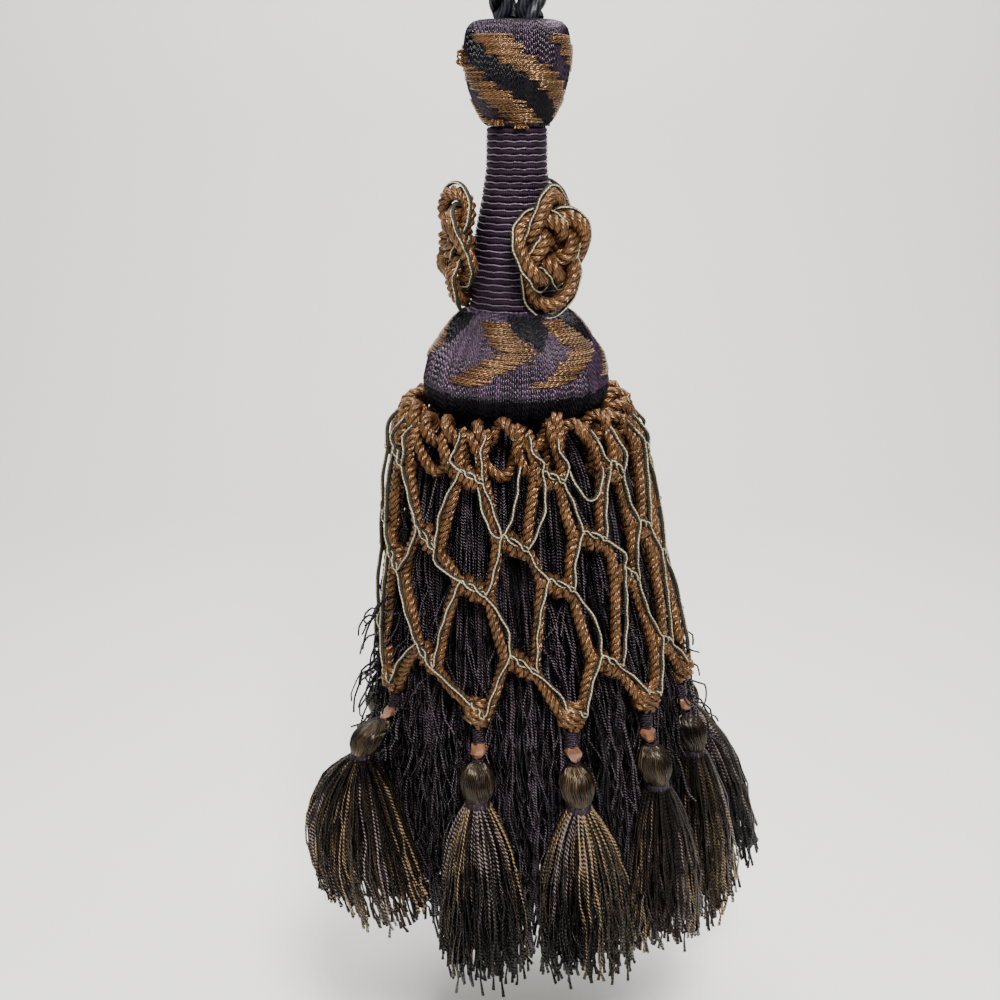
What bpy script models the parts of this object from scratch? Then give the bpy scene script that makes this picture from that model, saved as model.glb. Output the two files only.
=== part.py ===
"""Curtain tieback tassel: a floss-wound head, three rosette knots, a cord net, small tassels and a skirt.

Metres, +Z up. The origin is the inside top of the rope loop that the tassel hangs from. Heights are written
as a drop below that point in millimetres. An azimuth is in degrees, 0 at the front (-Y), growing towards +X.
"""

import math
import random
from bisect import bisect_right

import bmesh
import bpy
from mathutils import Vector

MM = 0.001
SEAT = 0.3  # gap between pieces that rest on each other

# Heights, as drops below the loop's inside top.
CUP_TOP = 70.0
CUP_TALL = 29.0
NECK_TALL = 53.0
BUN_TALL = 36.0
NECK_TOP = CUP_TOP + CUP_TALL + SEAT
BUN_TOP = NECK_TOP + NECK_TALL + SEAT
SKIRT_TOP = BUN_TOP + BUN_TALL + SEAT

# Rope.
ROPE_R = 4.25
ROPE_VALLEY = 0.76  # radius between two strands, as a share of ROPE_R
ROPE_PITCH = 24.0
LOOP_R = 17.5  # radius of the loop's round top, at the rope's middle
LEG_APART = 9.1  # between the two legs where they are laid together
TWIST_START = 3.0  # how far above the cup the legs start to turn about each other
TWIST_FROM = math.radians(-35.0)  # where the first leg stands about the other at the cup
TWIST_END = 34.0  # drop at which they part
TWIST_STEPS = 6
PARTING = (3.6, 8.0)  # from there: how far out and up each leg goes on its way to the round top
ARC_START = math.radians(-8.0)  # angle at which the loop's round top begins
ARC_STEPS = 6
ROUTE_STEPS = 2  # steps of the smooth route between two of its points

# Head.
CUP_R = 15.6
NECK_R = 9.2
NECK_RINGS = 27
NECK_GROOVE = 0.5
BUN_R = 29.0

# Rosette knots: a flat three-strand Turk's head of four bights, with its lowest bight drawn down as a stem.
ROSETTE_AZIMUTHS = (-78.0, 33.0, 155.0)
ROSETTE_DROP = 133.0
ROSETTE_OUT = 18.4
ROSETTE_CORD_R = 1.8
ROSETTE_STEPS = 44
ROSETTE_MEAN = 7.4
ROSETTE_SWING = 3.4
ROSETTE_LIFT = 2.8
ROSETTE_TALLER = 1.25
ROSETTE_BIGHT = 9.0  # how far above and below its middle a knot's top and bottom bights begin
TOP_BIGHT_RISE = 0.3  # how much further the top bight reaches, as a share of what is past that
STEM_FALL = 0.75  # the same for the bottom bight, which is drawn down
STEM_LEAN = 0.35  # and in to the neck

# Net.
NET_CORD_R = 1.9
NET_CORDS_APART = 2.4  # from a column to each of the two cords that start there
KNOT_PORT = (0.6, 0.8)  # where a crossing cord enters and leaves a knot, sideways and down from its middle
RUFF_DROP = 185.4
RUFF_R = 31.9
RUFF_TURN_R = 4.0
RUFF_TURNS = 22
RUFF_STEPS = 6  # points in one turn

# Threads.
SKIRT_END = 350.0
SKIRT_UNEVEN = 14.0
STEM_DROP = 5.2  # from the middle of a bottom knot to the flat end of the cord that comes out under it
STEM_R = 1.5
STEM_SEAT = 0.5  # a small tassel starts at a slant, so it needs a little more room under its stem

# (drop, radius) of each turned or draped outline.
CUP_OUTLINE = ((0.0, 11.6), (1.2, 14.0), (3.6, 15.2), (8.0, CUP_R), (16.2, 15.0), (21.8, 13.2), (27.2, 10.2),
               (CUP_TALL, 8.7))
NECK_OUTLINE = ((0.0, 9.0), (12.0, NECK_R), (20.0, 10.4), (32.0, 12.8), (44.0, 13.9), (NECK_TALL, 14.3))
BUN_OUTLINE = ((0.0, 15.3), (3.8, 19.5), (8.0, 22.8), (14.0, 26.8), (22.0, BUN_R), (28.0, 28.0), (32.5, 24.0),
               (BUN_TALL, 17.0))
CUP_SIDES, NECK_SIDES, BUN_SIDES, SKIRT_HEAD_SIDES = 22, 12, 26, 18
SKIRT_HEAD = ((0.0, 15.5), (2.4, 20.5), (6.0, 24.0), (9.5, 24.4), (11.0, 21.0))
NET_SPREAD = ((181.0, 34.5), (194.0, 38.0), (217.0, 41.0), (230.0, 43.0), (253.0, 46.5), (267.0, 49.5))
SKIRT_SPREAD = ((196.0, 22.0), (205.0, 33.0), (212.0, 36.3), (217.0, 37.2), (230.0, 39.4), (253.0, 42.7),
                (267.0, 44.8), (287.0, 46.2), (314.0, 47.0), (SKIRT_END, 48.5))
# (drop, sideways shift towards +X): the lower half hangs a little to one side.
DRIFT = ((185.0, 0.0), (225.0, 2.2), (267.0, 6.0), (350.0, 10.0))

# Rows of net knots below the ruff: (drop, whether the row stands between the columns, half a knot's length,
# a knot's radius).
NET_ROWS = ((217.0, True, 5.6, 2.6), (230.0, False, 5.6, 2.6), (253.0, True, 5.8, 2.6),
            (267.0, False, 3.8, 4.2))
NET_ROOT_DROP = 188.5
NET_RUN_STEPS = 2
NET_CORD_SIDES = 5
# (share of the knot's half length, radius as a share of the knot's).
KNOT_SWELLS = ((-1.0, 0.62), (-0.5, 1.0), (0.5, 1.0), (1.0, 0.62))
KNOT_TWIST = math.radians(36.0)  # turn from one ring to the next, which slants the ridges

# Small tassels at the net's points:
# (azimuth at the point, azimuth at the end, drop of the end, distance of the end from the axis,
# spread sideways, spread outwards, how far its ball head stands out from the net).
SMALL_TASSELS = (
    (-64.0, -55.0, 337.0, 66.0, 22.0, 14.0, 13.0),
    (-21.0, -20.0, 354.0, 59.0, 13.0, 8.0, 3.4),
    (12.0, 13.0, 351.0, 58.5, 14.0, 8.0, 3.4),
    (43.0, 42.0, 348.0, 58.5, 12.5, 8.0, 3.4),
    (72.0, 67.0, 351.0, 60.0, 12.0, 8.0, 3.4),
    (104.0, 101.0, 352.0, 69.0, 14.0, 10.0, 3.4),
    (136.0, 137.0, 350.0, 60.0, 13.5, 8.0, 3.4),
    (168.0, 168.0, 347.0, 59.0, 13.5, 8.0, 3.4),
    (200.0, 199.0, 351.0, 59.0, 13.0, 8.0, 3.4),
    (230.0, 229.0, 348.0, 59.0, 12.5, 8.0, 3.4),
    (262.0, 260.0, 350.0, 61.0, 12.0, 8.0, 3.4),
)
# (distance down the small tassel, radius): binding, bead, binding, ball head, waist and the threads' root.
SMALL_OUTLINE = ((0.0, 1.5), (3.4, 2.1), (5.0, 3.5), (8.4, 3.4), (10.6, 2.0), (12.8, 4.3), (16.8, 5.3),
                 (22.6, 3.9), (26.5, 4.6))
SMALL_ROOT = 24.4  # how far down the small tassel its threads start
SMALL_SIDES = 6
SMALL_STEPS = 8  # steps between two points of a small tassel's middle line
# Points of that line: (share of the turn, share of the way out, further out,
# share of the head's standing out, drop below its top).
SMALL_AXIS = ((0.0, 0.0, 0.1, 0.0, 0.0), (0.04, 0.0, 0.1, 0.12, 5.0), (0.15, 0.0, 0.0, 1.0, 16.0),
              (0.5, 0.62, -1.6, 0.76, 42.0))
# Rings of locks: (count, radius at the root, share of the spread, share of a step it is turned by).
SMALL_LOCKS = ((8, 3.0, 1.0, 0.0), (2, 1.0, 0.3, 0.5))
# (share of the way down, share of the spread, radius of the lock).
SMALL_LOCK_STOPS = ((0.0, 0.0, 0.95), (0.2, 0.58, 1.5), (0.5, 0.95, 1.9), (1.0, 0.97, 1.5))
LOCK_INSET = 1.5  # from the middle of an outer lock to the edge of a small tassel's spread

# Locks of the skirt: rings of (count, share of the skirt's radius, thickness as a share).
SKIRT_RINGS = ((50, 1.0, 1.05), (18, 0.66, 1.2), (6, 0.3, 1.2))
SKIRT_LOCK_DROPS = (197.5, 212.0, 255.0, SKIRT_END)
SKIRT_LOCK_RADII = (1.05, 1.65, 2.1, 1.7)

COLOURS = {
    "rope": (0.030, 0.028, 0.038),
    "floss": (0.045, 0.028, 0.050),
    "gimp": (0.060, 0.028, 0.070),
    "bronze": (0.260, 0.115, 0.040),
    "thread": (0.016, 0.010, 0.018),
    "mixed": (0.090, 0.060, 0.035),
}

root = bpy.context.scene.collection
parts = None
helpers = None


def fresh_scene():
    """Removes what the scene holds and makes the collections for the parts and for the helpers."""
    global parts, helpers
    for obj in list(bpy.data.objects):
        bpy.data.objects.remove(obj)
    parts = bpy.data.collections.new("tieback_tassel")
    helpers = bpy.data.collections.new("helpers")
    root.children.link(parts)
    root.children.link(helpers)


def material(name, roughness=0.6):
    found = bpy.data.materials.get(name)
    if found:
        return found
    made = bpy.data.materials.new(name)
    made.use_nodes = True
    shader = made.node_tree.nodes["Principled BSDF"]
    shader.inputs["Base Color"].default_value = (*COLOURS[name], 1.0)
    shader.inputs["Roughness"].default_value = roughness
    shader.inputs["Metallic"].default_value = 0.0
    return made


def read(table, at):
    """The table's second column where its first column is `at`, on straight lines between the rows."""
    heads = [row[0] for row in table]
    low = min(max(bisect_right(heads, at) - 1, 0), len(table) - 2)
    share = (at - heads[low]) / (heads[low + 1] - heads[low])
    share = min(max(share, 0.0), 1.0)
    return table[low][1] + (table[low + 1][1] - table[low][1]) * share


def place(azimuth, radius, drop):
    """The point, in metres, at this azimuth, distance from the axis and drop."""
    turn = math.radians(azimuth)
    x = radius * math.sin(turn) + read(DRIFT, drop)
    return Vector((x, -radius * math.cos(turn), -drop)) * MM


def new_object(name, mesh, colour):
    obj = bpy.data.objects.new(name, mesh)
    parts.objects.link(obj)
    mesh.materials.clear()
    mesh.materials.append(material(colour))
    return obj


def turned(name, outline, top, colour, sides):
    """A solid turned about Z from (drop, radius) rows, closed on the axis at both ends."""
    rows = [(outline[0][0], 0.0), *outline, (outline[-1][0], 0.0)]
    mesh = bpy.data.meshes.new(name)
    points = [(radius * MM, 0.0, -(top + drop) * MM) for drop, radius in rows]
    mesh.from_pydata(points, [(i, i + 1) for i in range(len(points) - 1)], [])
    obj = new_object(name, mesh, colour)
    screw = obj.modifiers.new("turn", "SCREW")
    screw.steps = sides
    screw.render_steps = sides
    screw.use_merge_vertices = True
    screw.merge_threshold = 0.00001
    screw.use_smooth_shade = True
    return obj


def directions(points, closed=False):
    """A tangent, a side and an up for each point of a path, turning as little as the path allows."""
    count = len(points)
    tangents = []
    for i in range(count):
        before = points[i - 1] if i or closed else points[i]
        after = points[(i + 1) % count] if i + 1 < count or closed else points[i]
        tangents.append((after - before).normalized())
    side = tangents[0].orthogonal().normalized()
    found = []
    for tangent in tangents:
        side = (side - tangent * side.dot(tangent)).normalized()
        found.append((tangent, side, tangent.cross(side)))
    return found


def loft(bm, points, sections):
    """Joins a section, a list of (angle, radius), around each point of a path and caps both ends."""
    rings = []
    for point, (_, side, up), section in zip(points, directions(points), sections):
        ring = []
        for angle, radius in section:
            ring.append(bm.verts.new(point + (side * math.cos(angle) + up * math.sin(angle)) * radius * MM))
        rings.append(ring)
    size = len(rings[0])
    for first, second in zip(rings, rings[1:]):
        for i in range(size):
            j = (i + 1) % size
            bm.faces.new((first[i], first[j], second[j], second[i]))
    bm.faces.new(list(reversed(rings[0])))
    bm.faces.new(rings[-1])


def round_section(sides, radius, turn=0.0):
    return [(turn + math.tau * i / sides, radius) for i in range(sides)]


def mesh_of(name, bm):
    bmesh.ops.recalc_face_normals(bm, faces=bm.faces)
    mesh = bpy.data.meshes.new(name)
    bm.to_mesh(mesh)
    bm.free()
    return mesh


def cord(name, points, radius, colour, closed=False, resolution=1):
    """A tube along the points: a curve with a bevel, made a mesh whose caps are welded."""
    curve = bpy.data.curves.new(name, "CURVE")
    curve.dimensions = "3D"
    curve.bevel_depth = radius * MM
    curve.bevel_resolution = resolution
    curve.use_fill_caps = not closed
    spline = curve.splines.new("POLY")
    spline.points.add(len(points) - 1)
    for slot, point in zip(spline.points, points):
        slot.co = (*point, 1.0)
    spline.use_cyclic_u = closed
    guide = bpy.data.objects.new(name + "_guide", curve)
    root.objects.link(guide)
    bpy.context.view_layer.update()
    mesh = bpy.data.meshes.new_from_object(guide.evaluated_get(bpy.context.evaluated_depsgraph_get()))
    bpy.data.objects.remove(guide)
    bpy.data.curves.remove(curve)
    bm = bmesh.new()
    bm.from_mesh(mesh)
    bpy.data.meshes.remove(mesh)
    bmesh.ops.remove_doubles(bm, verts=bm.verts, dist=0.00001)
    return new_object(name, mesh_of(name, bm), colour)


def islands(bm):
    """The mesh's separate shells, each as a list of faces."""
    waiting = set(bm.faces)
    found = []
    while waiting:
        shell = [waiting.pop()]
        for face in shell:
            for edge in face.edges:
                for near in edge.link_faces:
                    if near in waiting:
                        waiting.remove(near)
                        shell.append(near)
        found.append(shell)
    return found


def fuse(base, others):
    """Unites other solids with the base, in a plain mesh. A void that they enclose is filled."""
    operands = bpy.data.collections.new(base.name + "_fused")
    helpers.children.link(operands)
    for obj in others:
        parts.objects.unlink(obj)
        operands.objects.link(obj)
    union = base.modifiers.new("fuse", "BOOLEAN")
    union.operation = "UNION"
    union.solver = "EXACT"
    union.operand_type = "COLLECTION"
    union.collection = operands
    bpy.context.view_layer.update()
    mesh = bpy.data.meshes.new_from_object(base.evaluated_get(bpy.context.evaluated_depsgraph_get()))
    base.modifiers.clear()
    for obj in others:
        bpy.data.objects.remove(obj)
    bpy.data.collections.remove(operands)
    bm = bmesh.new()
    bm.from_mesh(mesh)
    bmesh.ops.remove_doubles(bm, verts=bm.verts, dist=0.000003)
    bmesh.ops.dissolve_degenerate(bm, dist=0.000003, edges=bm.edges)
    shells = sorted(islands(bm), key=len)
    for shell in shells[:-1]:
        bmesh.ops.delete(bm, geom=shell, context="FACES")
    bm.to_mesh(mesh)
    bm.free()
    base.data = mesh


def smooth_path(points, steps):
    """A smooth curve through the points, with this many steps between each two."""
    found = []
    for i in range(len(points) - 1):
        before = points[max(i - 1, 0)]
        start, end = points[i], points[i + 1]
        after = points[min(i + 2, len(points) - 1)]
        for step in range(steps):
            t = step / steps
            found.append(0.5 * ((2 * start) + (end - before) * t
                                + (2 * before - 5 * start + 4 * end - after) * t * t
                                + (3 * start - before - 3 * end + after) * t * t * t))
    found.append(points[-1].copy())
    return found


# Rope loop

def rope_route():
    """Up from the cup, half a turn about the other leg, round the open loop and down again."""
    foot = CUP_TOP - SEAT
    points = []
    for i in range(TWIST_STEPS + 1):
        share = i / TWIST_STEPS
        turn = TWIST_FROM + (math.pi - TWIST_FROM) * share
        drop = foot - TWIST_START - (foot - TWIST_START - TWIST_END) * share
        points.append(Vector((-LEG_APART / 2 * math.cos(turn), -LEG_APART / 2 * math.sin(turn), -drop)))
    out, rise = PARTING
    half = [(LEG_APART / 2 + out, TWIST_END - rise)]
    for i in range(ARC_STEPS + 1):
        angle = ARC_START + (math.pi / 2 - ARC_START) * i / ARC_STEPS
        half.append((LOOP_R * math.cos(angle), LOOP_R - ROPE_R - LOOP_R * math.sin(angle)))
    up = points + [Vector((x, 0.0, -drop)) for x, drop in half]
    down = [Vector((-p.x, -p.y, p.z)) for p in reversed(up[:-1])]
    ends = [Vector((p.x, p.y, -foot)) for p in (up[0], down[-1])]
    return [p * MM for p in [ends[0], *smooth_path(up + down, ROUTE_STEPS), ends[1]]]


def build_rope():
    """A rope of three strands: each section has three lobes, turned along the length."""
    points = rope_route()
    bm = bmesh.new()
    sections = []
    travelled = 0.0
    for i, point in enumerate(points):
        if i:
            travelled += (point - points[i - 1]).length / MM
        turn = math.tau * travelled / ROPE_PITCH
        section = []
        for k in range(6):
            radius = ROPE_R if k % 2 == 0 else ROPE_R * ROPE_VALLEY
            section.append((turn + math.tau * k / 6, radius))
        sections.append(section)
    loft(bm, points, sections)
    new_object("rope_loop", mesh_of("rope_loop", bm), "rope")


# Head: cup, neck, bun

def build_head():
    turned("cup", CUP_OUTLINE, CUP_TOP, "floss", CUP_SIDES)
    rows = []
    pitch = NECK_TALL / NECK_RINGS
    for i in range(NECK_RINGS):
        top = i * pitch
        rows.append((top, read(NECK_OUTLINE, top) - NECK_GROOVE))
        rows.append((top + pitch / 2, read(NECK_OUTLINE, top + pitch / 2)))
    rows.append((NECK_TALL, read(NECK_OUTLINE, NECK_TALL) - NECK_GROOVE))
    turned("neck", rows, NECK_TOP, "gimp", NECK_SIDES)
    turned("bun", BUN_OUTLINE, BUN_TOP, "floss", BUN_SIDES)


# Rosette knots

def rosette_point(angle, azimuth):
    """A point of the knot's middle line, which closes after three turns."""
    reach = ROSETTE_MEAN + ROSETTE_SWING * math.cos(4 * angle / 3)
    across = reach * math.cos(angle)
    up = ROSETTE_TALLER * reach * math.sin(angle)
    lift = ROSETTE_LIFT * math.sin(8 * angle / 3)
    below = max(0.0, -up - ROSETTE_BIGHT)
    above = max(0.0, up - ROSETTE_BIGHT)
    up += TOP_BIGHT_RISE * above - STEM_FALL * below
    lift -= STEM_LEAN * below
    turn = math.radians(azimuth)
    outwards = Vector((math.sin(turn), -math.cos(turn), 0.0))
    sideways = Vector((math.cos(turn), math.sin(turn), 0.0))
    middle = outwards * (ROSETTE_OUT + lift) + sideways * across
    return Vector((middle.x, middle.y, up - ROSETTE_DROP)) * MM


def build_rosettes():
    """Each knot as one closed cord."""
    for number, azimuth in enumerate(ROSETTE_AZIMUTHS):
        points = [rosette_point(6 * math.pi * i / ROSETTE_STEPS, azimuth) for i in range(ROSETTE_STEPS)]
        cord(f"rosette_{number}", points, ROSETTE_CORD_R, "bronze", closed=True)


# Net

def column(number):
    """The azimuth of a net column; half numbers lie midway between two columns."""
    low = math.floor(number)
    count = len(SMALL_TASSELS)
    values = [SMALL_TASSELS[(low + step) % count][0] + 360.0 * ((low + step) // count) for step in (0, 1)]
    return values[0] + (values[1] - values[0]) * (number - low)


def on_net(azimuth, drop):
    return place(azimuth, read(NET_SPREAD, drop), drop)


def step_along(azimuth, drop, sideways, down):
    """The (azimuth, drop) this far from a point of the net, in millimetres along its surface."""
    return azimuth + math.degrees(sideways / read(NET_SPREAD, drop)), drop + down


def knot_at(number, row):
    """A net knot of a column or of the gap to its right: (azimuth, drop, half length, radius, slant)."""
    drop, between, length, radius = NET_ROWS[row]
    rng = random.Random(100 * (number % len(SMALL_TASSELS)) + row)
    lower = rng.uniform(-1.5, 1.5) if row + 1 < len(NET_ROWS) else 0.0
    slant = math.radians(rng.uniform(20.0, 45.0))
    return column(number + (0.5 if between else 0.0)), drop + lower, length, radius, slant


def along_knot(knot, share):
    """The (azimuth, drop) at a share of the knot's half length, from its upper left to its lower right."""
    azimuth, drop, length, _, slant = knot
    return step_along(azimuth, drop, share * length * math.cos(slant), share * length * math.sin(slant))


def falling_cord(number):
    """A net cord that falls to the right from the ruff and is wrapped at each knot on its way."""
    stops = [(*step_along(column(number), NET_ROOT_DROP, NET_CORDS_APART, 0.0), NET_CORD_R, 0.0)]
    for row in range(len(NET_ROWS)):
        knot = knot_at(number + (row + 1) // 2, row)
        first = along_knot(knot, -1.0)
        before = stops[-1]
        stops.append(((before[0] + first[0]) / 2, (before[1] + first[1]) / 2, NET_CORD_R, before[3]))
        for ring, (share, swell) in enumerate(KNOT_SWELLS):
            stops.append((*along_knot(knot, share), knot[3] * swell, before[3] + KNOT_TWIST * ring))
    bm = bmesh.new()
    points = [on_net(azimuth, drop) for azimuth, drop, _, _ in stops]
    loft(bm, points, [round_section(NET_CORD_SIDES, radius, turn) for _, _, radius, turn in stops])
    return new_object(f"net_cord_{number}", mesh_of(f"net_cord_{number}", bm), "bronze")


def crossing_run(name, start, end):
    """A stretch of net cord that falls to the left, from under one knot to the top of the next."""
    stops = [i / NET_RUN_STEPS for i in range(NET_RUN_STEPS + 1)]
    points = [on_net(start[0] + (end[0] - start[0]) * t, start[1] + (end[1] - start[1]) * t) for t in stops]
    return cord(name, points, NET_CORD_R, "bronze", resolution=0)


def crossing_cord(number):
    """The stretches of the net cord that falls to the left from the ruff, through a knot of each row."""
    across, down = KNOT_PORT
    start = step_along(column(number), NET_ROOT_DROP, -NET_CORDS_APART, 0.0)
    runs = []
    for row in range(len(NET_ROWS)):
        azimuth, drop = knot_at(number - (row + 2) // 2, row)[:2]
        runs.append(crossing_run(f"net_run_{number}_{row}", start, step_along(azimuth, drop, across, -down)))
        start = step_along(azimuth, drop, -across, down)
    return runs


def stem(number):
    """The flat-ended cord that comes straight down out of a bottom knot."""
    lowest = NET_ROWS[-1][0]
    end = place(column(number), read(NET_SPREAD, lowest), lowest + STEM_DROP)
    top = Vector((end.x, end.y, -lowest * MM))
    return cord(f"net_stem_{number}", [top, end], STEM_R, "bronze")


def build_net():
    """The looped ruff under the bun and the net that hangs from it, as one solid of fused cords."""
    steps = RUFF_TURNS * RUFF_STEPS
    points = []
    for i in range(steps):
        coil = math.tau * RUFF_TURNS * i / steps
        radius = RUFF_R + RUFF_TURN_R * math.cos(coil)
        points.append(place(360.0 * i / steps, radius, RUFF_DROP + RUFF_TURN_R * math.sin(coil)))
    ruff = cord("net", points, NET_CORD_R, "bronze", closed=True, resolution=0)
    made = []
    for number in range(len(SMALL_TASSELS)):
        made += [falling_cord(number), *crossing_cord(number), stem(number)]
    fuse(ruff, made)


# Threads

def lock(bm, points, radii, turn):
    """One lock of threads: a tapering three-sided strand."""
    loft(bm, points, [round_section(3, radius, turn) for radius in radii])


def build_skirt():
    """The thread skirt: locks that stand apart, fused at their roots into a low backing under the bun."""
    head = turned("skirt", SKIRT_HEAD, SKIRT_TOP, "thread", SKIRT_HEAD_SIDES)
    rng = random.Random(11)
    bm = bmesh.new()
    for count, share, thickness in SKIRT_RINGS:
        for i in range(count):
            azimuth = 360.0 * (i + 0.5 * (share < 1.0)) / count
            sway = rng.uniform(-0.14, 0.14) * 360.0 / count
            shorter = rng.uniform(0.0, SKIRT_UNEVEN)
            points = []
            radii = []
            for drop, radius in zip(SKIRT_LOCK_DROPS, SKIRT_LOCK_RADII):
                along = (drop - SKIRT_LOCK_DROPS[0]) / (SKIRT_END - SKIRT_LOCK_DROPS[0])
                lower = drop - shorter * along
                size = radius * thickness
                reach = share * (read(SKIRT_SPREAD, lower) - size)
                points.append(place(azimuth + sway * along, reach, lower))
                radii.append(size)
            lock(bm, points, radii, rng.uniform(0.0, math.tau))
    fuse(head, [new_object("skirt_locks", mesh_of("skirt_locks", bm), "thread")])


def small_axis(row):
    """The middle line of a small tassel, from under its net knot to the ends of its threads."""
    azimuth, end_azimuth, end_drop, end_radius, _, _, head_out = row
    top = NET_ROWS[-1][0] + STEM_DROP + STEM_SEAT
    start_radius = read(NET_SPREAD, NET_ROWS[-1][0])
    points = []
    for turn, way, further, lean, down in SMALL_AXIS:
        radius = start_radius + way * (end_radius - start_radius) + further + lean * head_out
        points.append(place(azimuth + turn * (end_azimuth - azimuth), radius, top + down))
    points.append(place(end_azimuth, end_radius, end_drop))
    return points


def along_path(points, distance):
    """The point this far down a path."""
    for start, end in zip(points, points[1:]):
        length = (end - start).length
        if distance <= length:
            return start + (end - start) * (distance / length)
        distance -= length
    return points[-1].copy()


def small_locks(row, line, rng):
    """The locks of one small tassel, which spread from its waist into a bell."""
    _, end_azimuth, _, _, spread_sideways, spread_outwards, _ = row
    turn = math.radians(end_azimuth)
    sideways = Vector((math.cos(turn), math.sin(turn), 0.0)) * MM
    outwards = Vector((math.sin(turn), -math.cos(turn), 0.0)) * MM
    root_at = SMALL_ROOT * MM
    total = sum((end - start).length for start, end in zip(line, line[1:]))
    bm = bmesh.new()
    for count, ring, share, turned_by in SMALL_LOCKS:
        for i in range(count):
            angle = math.tau * (i + turned_by + rng.uniform(-0.05, 0.05)) / count
            length = (total - root_at) * (1.0 - rng.uniform(0.0, 0.07))
            points = []
            for part, fan, _ in SMALL_LOCK_STOPS:
                across = ring + (share * (spread_sideways - LOCK_INSET) - ring) * fan
                deep = ring + (share * (spread_outwards - LOCK_INSET) - ring) * fan
                points.append(along_path(line, root_at + length * part) + sideways * across * math.sin(angle)
                              + outwards * deep * math.cos(angle))
            lock(bm, points, [size for _, _, size in SMALL_LOCK_STOPS], rng.uniform(0.0, math.tau))
    return bm


def build_small_tassels():
    """Each small tassel: bound stem, bead, ball head and waist, with the roots of its locks fused into it."""
    rng = random.Random(23)
    for number, row in enumerate(SMALL_TASSELS):
        line = smooth_path(small_axis(row), SMALL_STEPS)
        bm = bmesh.new()
        stops = [along_path(line, at * MM) for at, _ in SMALL_OUTLINE]
        loft(bm, stops, [round_section(SMALL_SIDES, radius) for _, radius in SMALL_OUTLINE])
        name = f"small_tassel_{number:02d}"
        body = new_object(name, mesh_of(name, bm), "mixed")
        locks = mesh_of(name + "_locks", small_locks(row, line, rng))
        fuse(body, [new_object(name + "_locks", locks, "mixed")])


fresh_scene()
build_rope()
build_head()
build_rosettes()
build_net()
build_skirt()
build_small_tassels()
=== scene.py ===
"""Dresses the curtain tieback tassel: rope, floss-wound head, rosettes, cord net, skirt and small tassels."""

import math
import random
from bisect import bisect_right

import bmesh
import bpy
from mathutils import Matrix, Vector


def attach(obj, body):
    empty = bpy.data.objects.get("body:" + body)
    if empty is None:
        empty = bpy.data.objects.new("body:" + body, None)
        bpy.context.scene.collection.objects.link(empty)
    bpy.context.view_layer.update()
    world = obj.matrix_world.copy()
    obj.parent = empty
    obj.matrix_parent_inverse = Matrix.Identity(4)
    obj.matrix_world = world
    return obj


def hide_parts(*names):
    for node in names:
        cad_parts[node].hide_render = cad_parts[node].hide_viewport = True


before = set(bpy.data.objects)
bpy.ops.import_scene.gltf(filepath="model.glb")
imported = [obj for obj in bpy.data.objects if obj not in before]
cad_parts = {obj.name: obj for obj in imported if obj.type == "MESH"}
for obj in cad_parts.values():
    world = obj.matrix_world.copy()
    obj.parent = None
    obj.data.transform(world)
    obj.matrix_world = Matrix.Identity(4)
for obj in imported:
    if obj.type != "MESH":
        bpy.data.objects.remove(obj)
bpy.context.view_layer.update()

bl_info = {
    "name": "Tieback Tassel",
    "version": (1, 0, 0),
    "blender": (4, 5, 0),
    "location": "3D View > Sidebar > Tassel",
    "description": "Makes a curtain tieback tassel of cord, floss, gimp and thread",
    "category": "Add Mesh",
}

MM = 0.001
ROOT = "root"
DOWN = Vector((0.0, 0.0, -1.0))
CORD_PITCH = 6.6  # one turn of the bronze cord's plies, in millimetres
CORD_STEP, GIMP_STEP = 1.2, 1.5  # from one point of a cord's or a gimp's middle line to the next

# Heights are drops below the inside top of the rope loop, in millimetres.
ROPE_FOOT = 69.7
CUP_TOP = 70.0
NECK_TOP, NECK_TALL = 99.3, 53.0
BUN_TOP = 152.6
NET_ROOT = 188.5
SKIRT_TOP = 188.9

# (drop below the piece's top, radius).
CUP_OUTLINE = ((0.0, 11.6), (1.2, 14.0), (3.6, 15.2), (8.0, 15.6), (16.2, 15.0), (21.8, 13.2), (27.2, 10.2),
               (29.0, 8.7))
NECK_OUTLINE = ((0.0, 9.0), (12.0, 9.2), (20.0, 10.4), (32.0, 12.8), (44.0, 13.9), (53.0, 14.3))
BUN_OUTLINE = ((0.0, 15.3), (3.8, 19.5), (8.0, 22.8), (14.0, 26.8), (22.0, 29.0), (28.0, 28.0), (32.5, 24.0),
               (36.0, 17.0))
# (drop below the loop, radius).
NET_SPREAD = ((181.0, 34.5), (194.0, 38.0), (217.0, 41.0), (230.0, 43.0), (253.0, 46.5), (267.0, 49.5))
SKIRT_SPREAD = ((186.0, 22.0), (190.0, 28.0), (196.0, 33.0), (205.0, 36.2), (217.0, 38.0), (230.0, 40.0),
                (253.0, 43.6), (267.0, 46.2), (287.0, 48.4), (314.0, 49.6), (355.0, 50.5))
# (drop, shift towards +X).
DRIFT = ((185.0, 0.0), (225.0, 2.2), (267.0, 6.0), (350.0, 10.0))
# Net rows: (drop, between the columns, half length of the knot).
NET_ROWS = ((197.5, False, 4.6), (217.0, True, 5.6), (230.0, False, 5.6), (253.0, True, 5.8),
            (267.0, False, 3.8))
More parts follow.
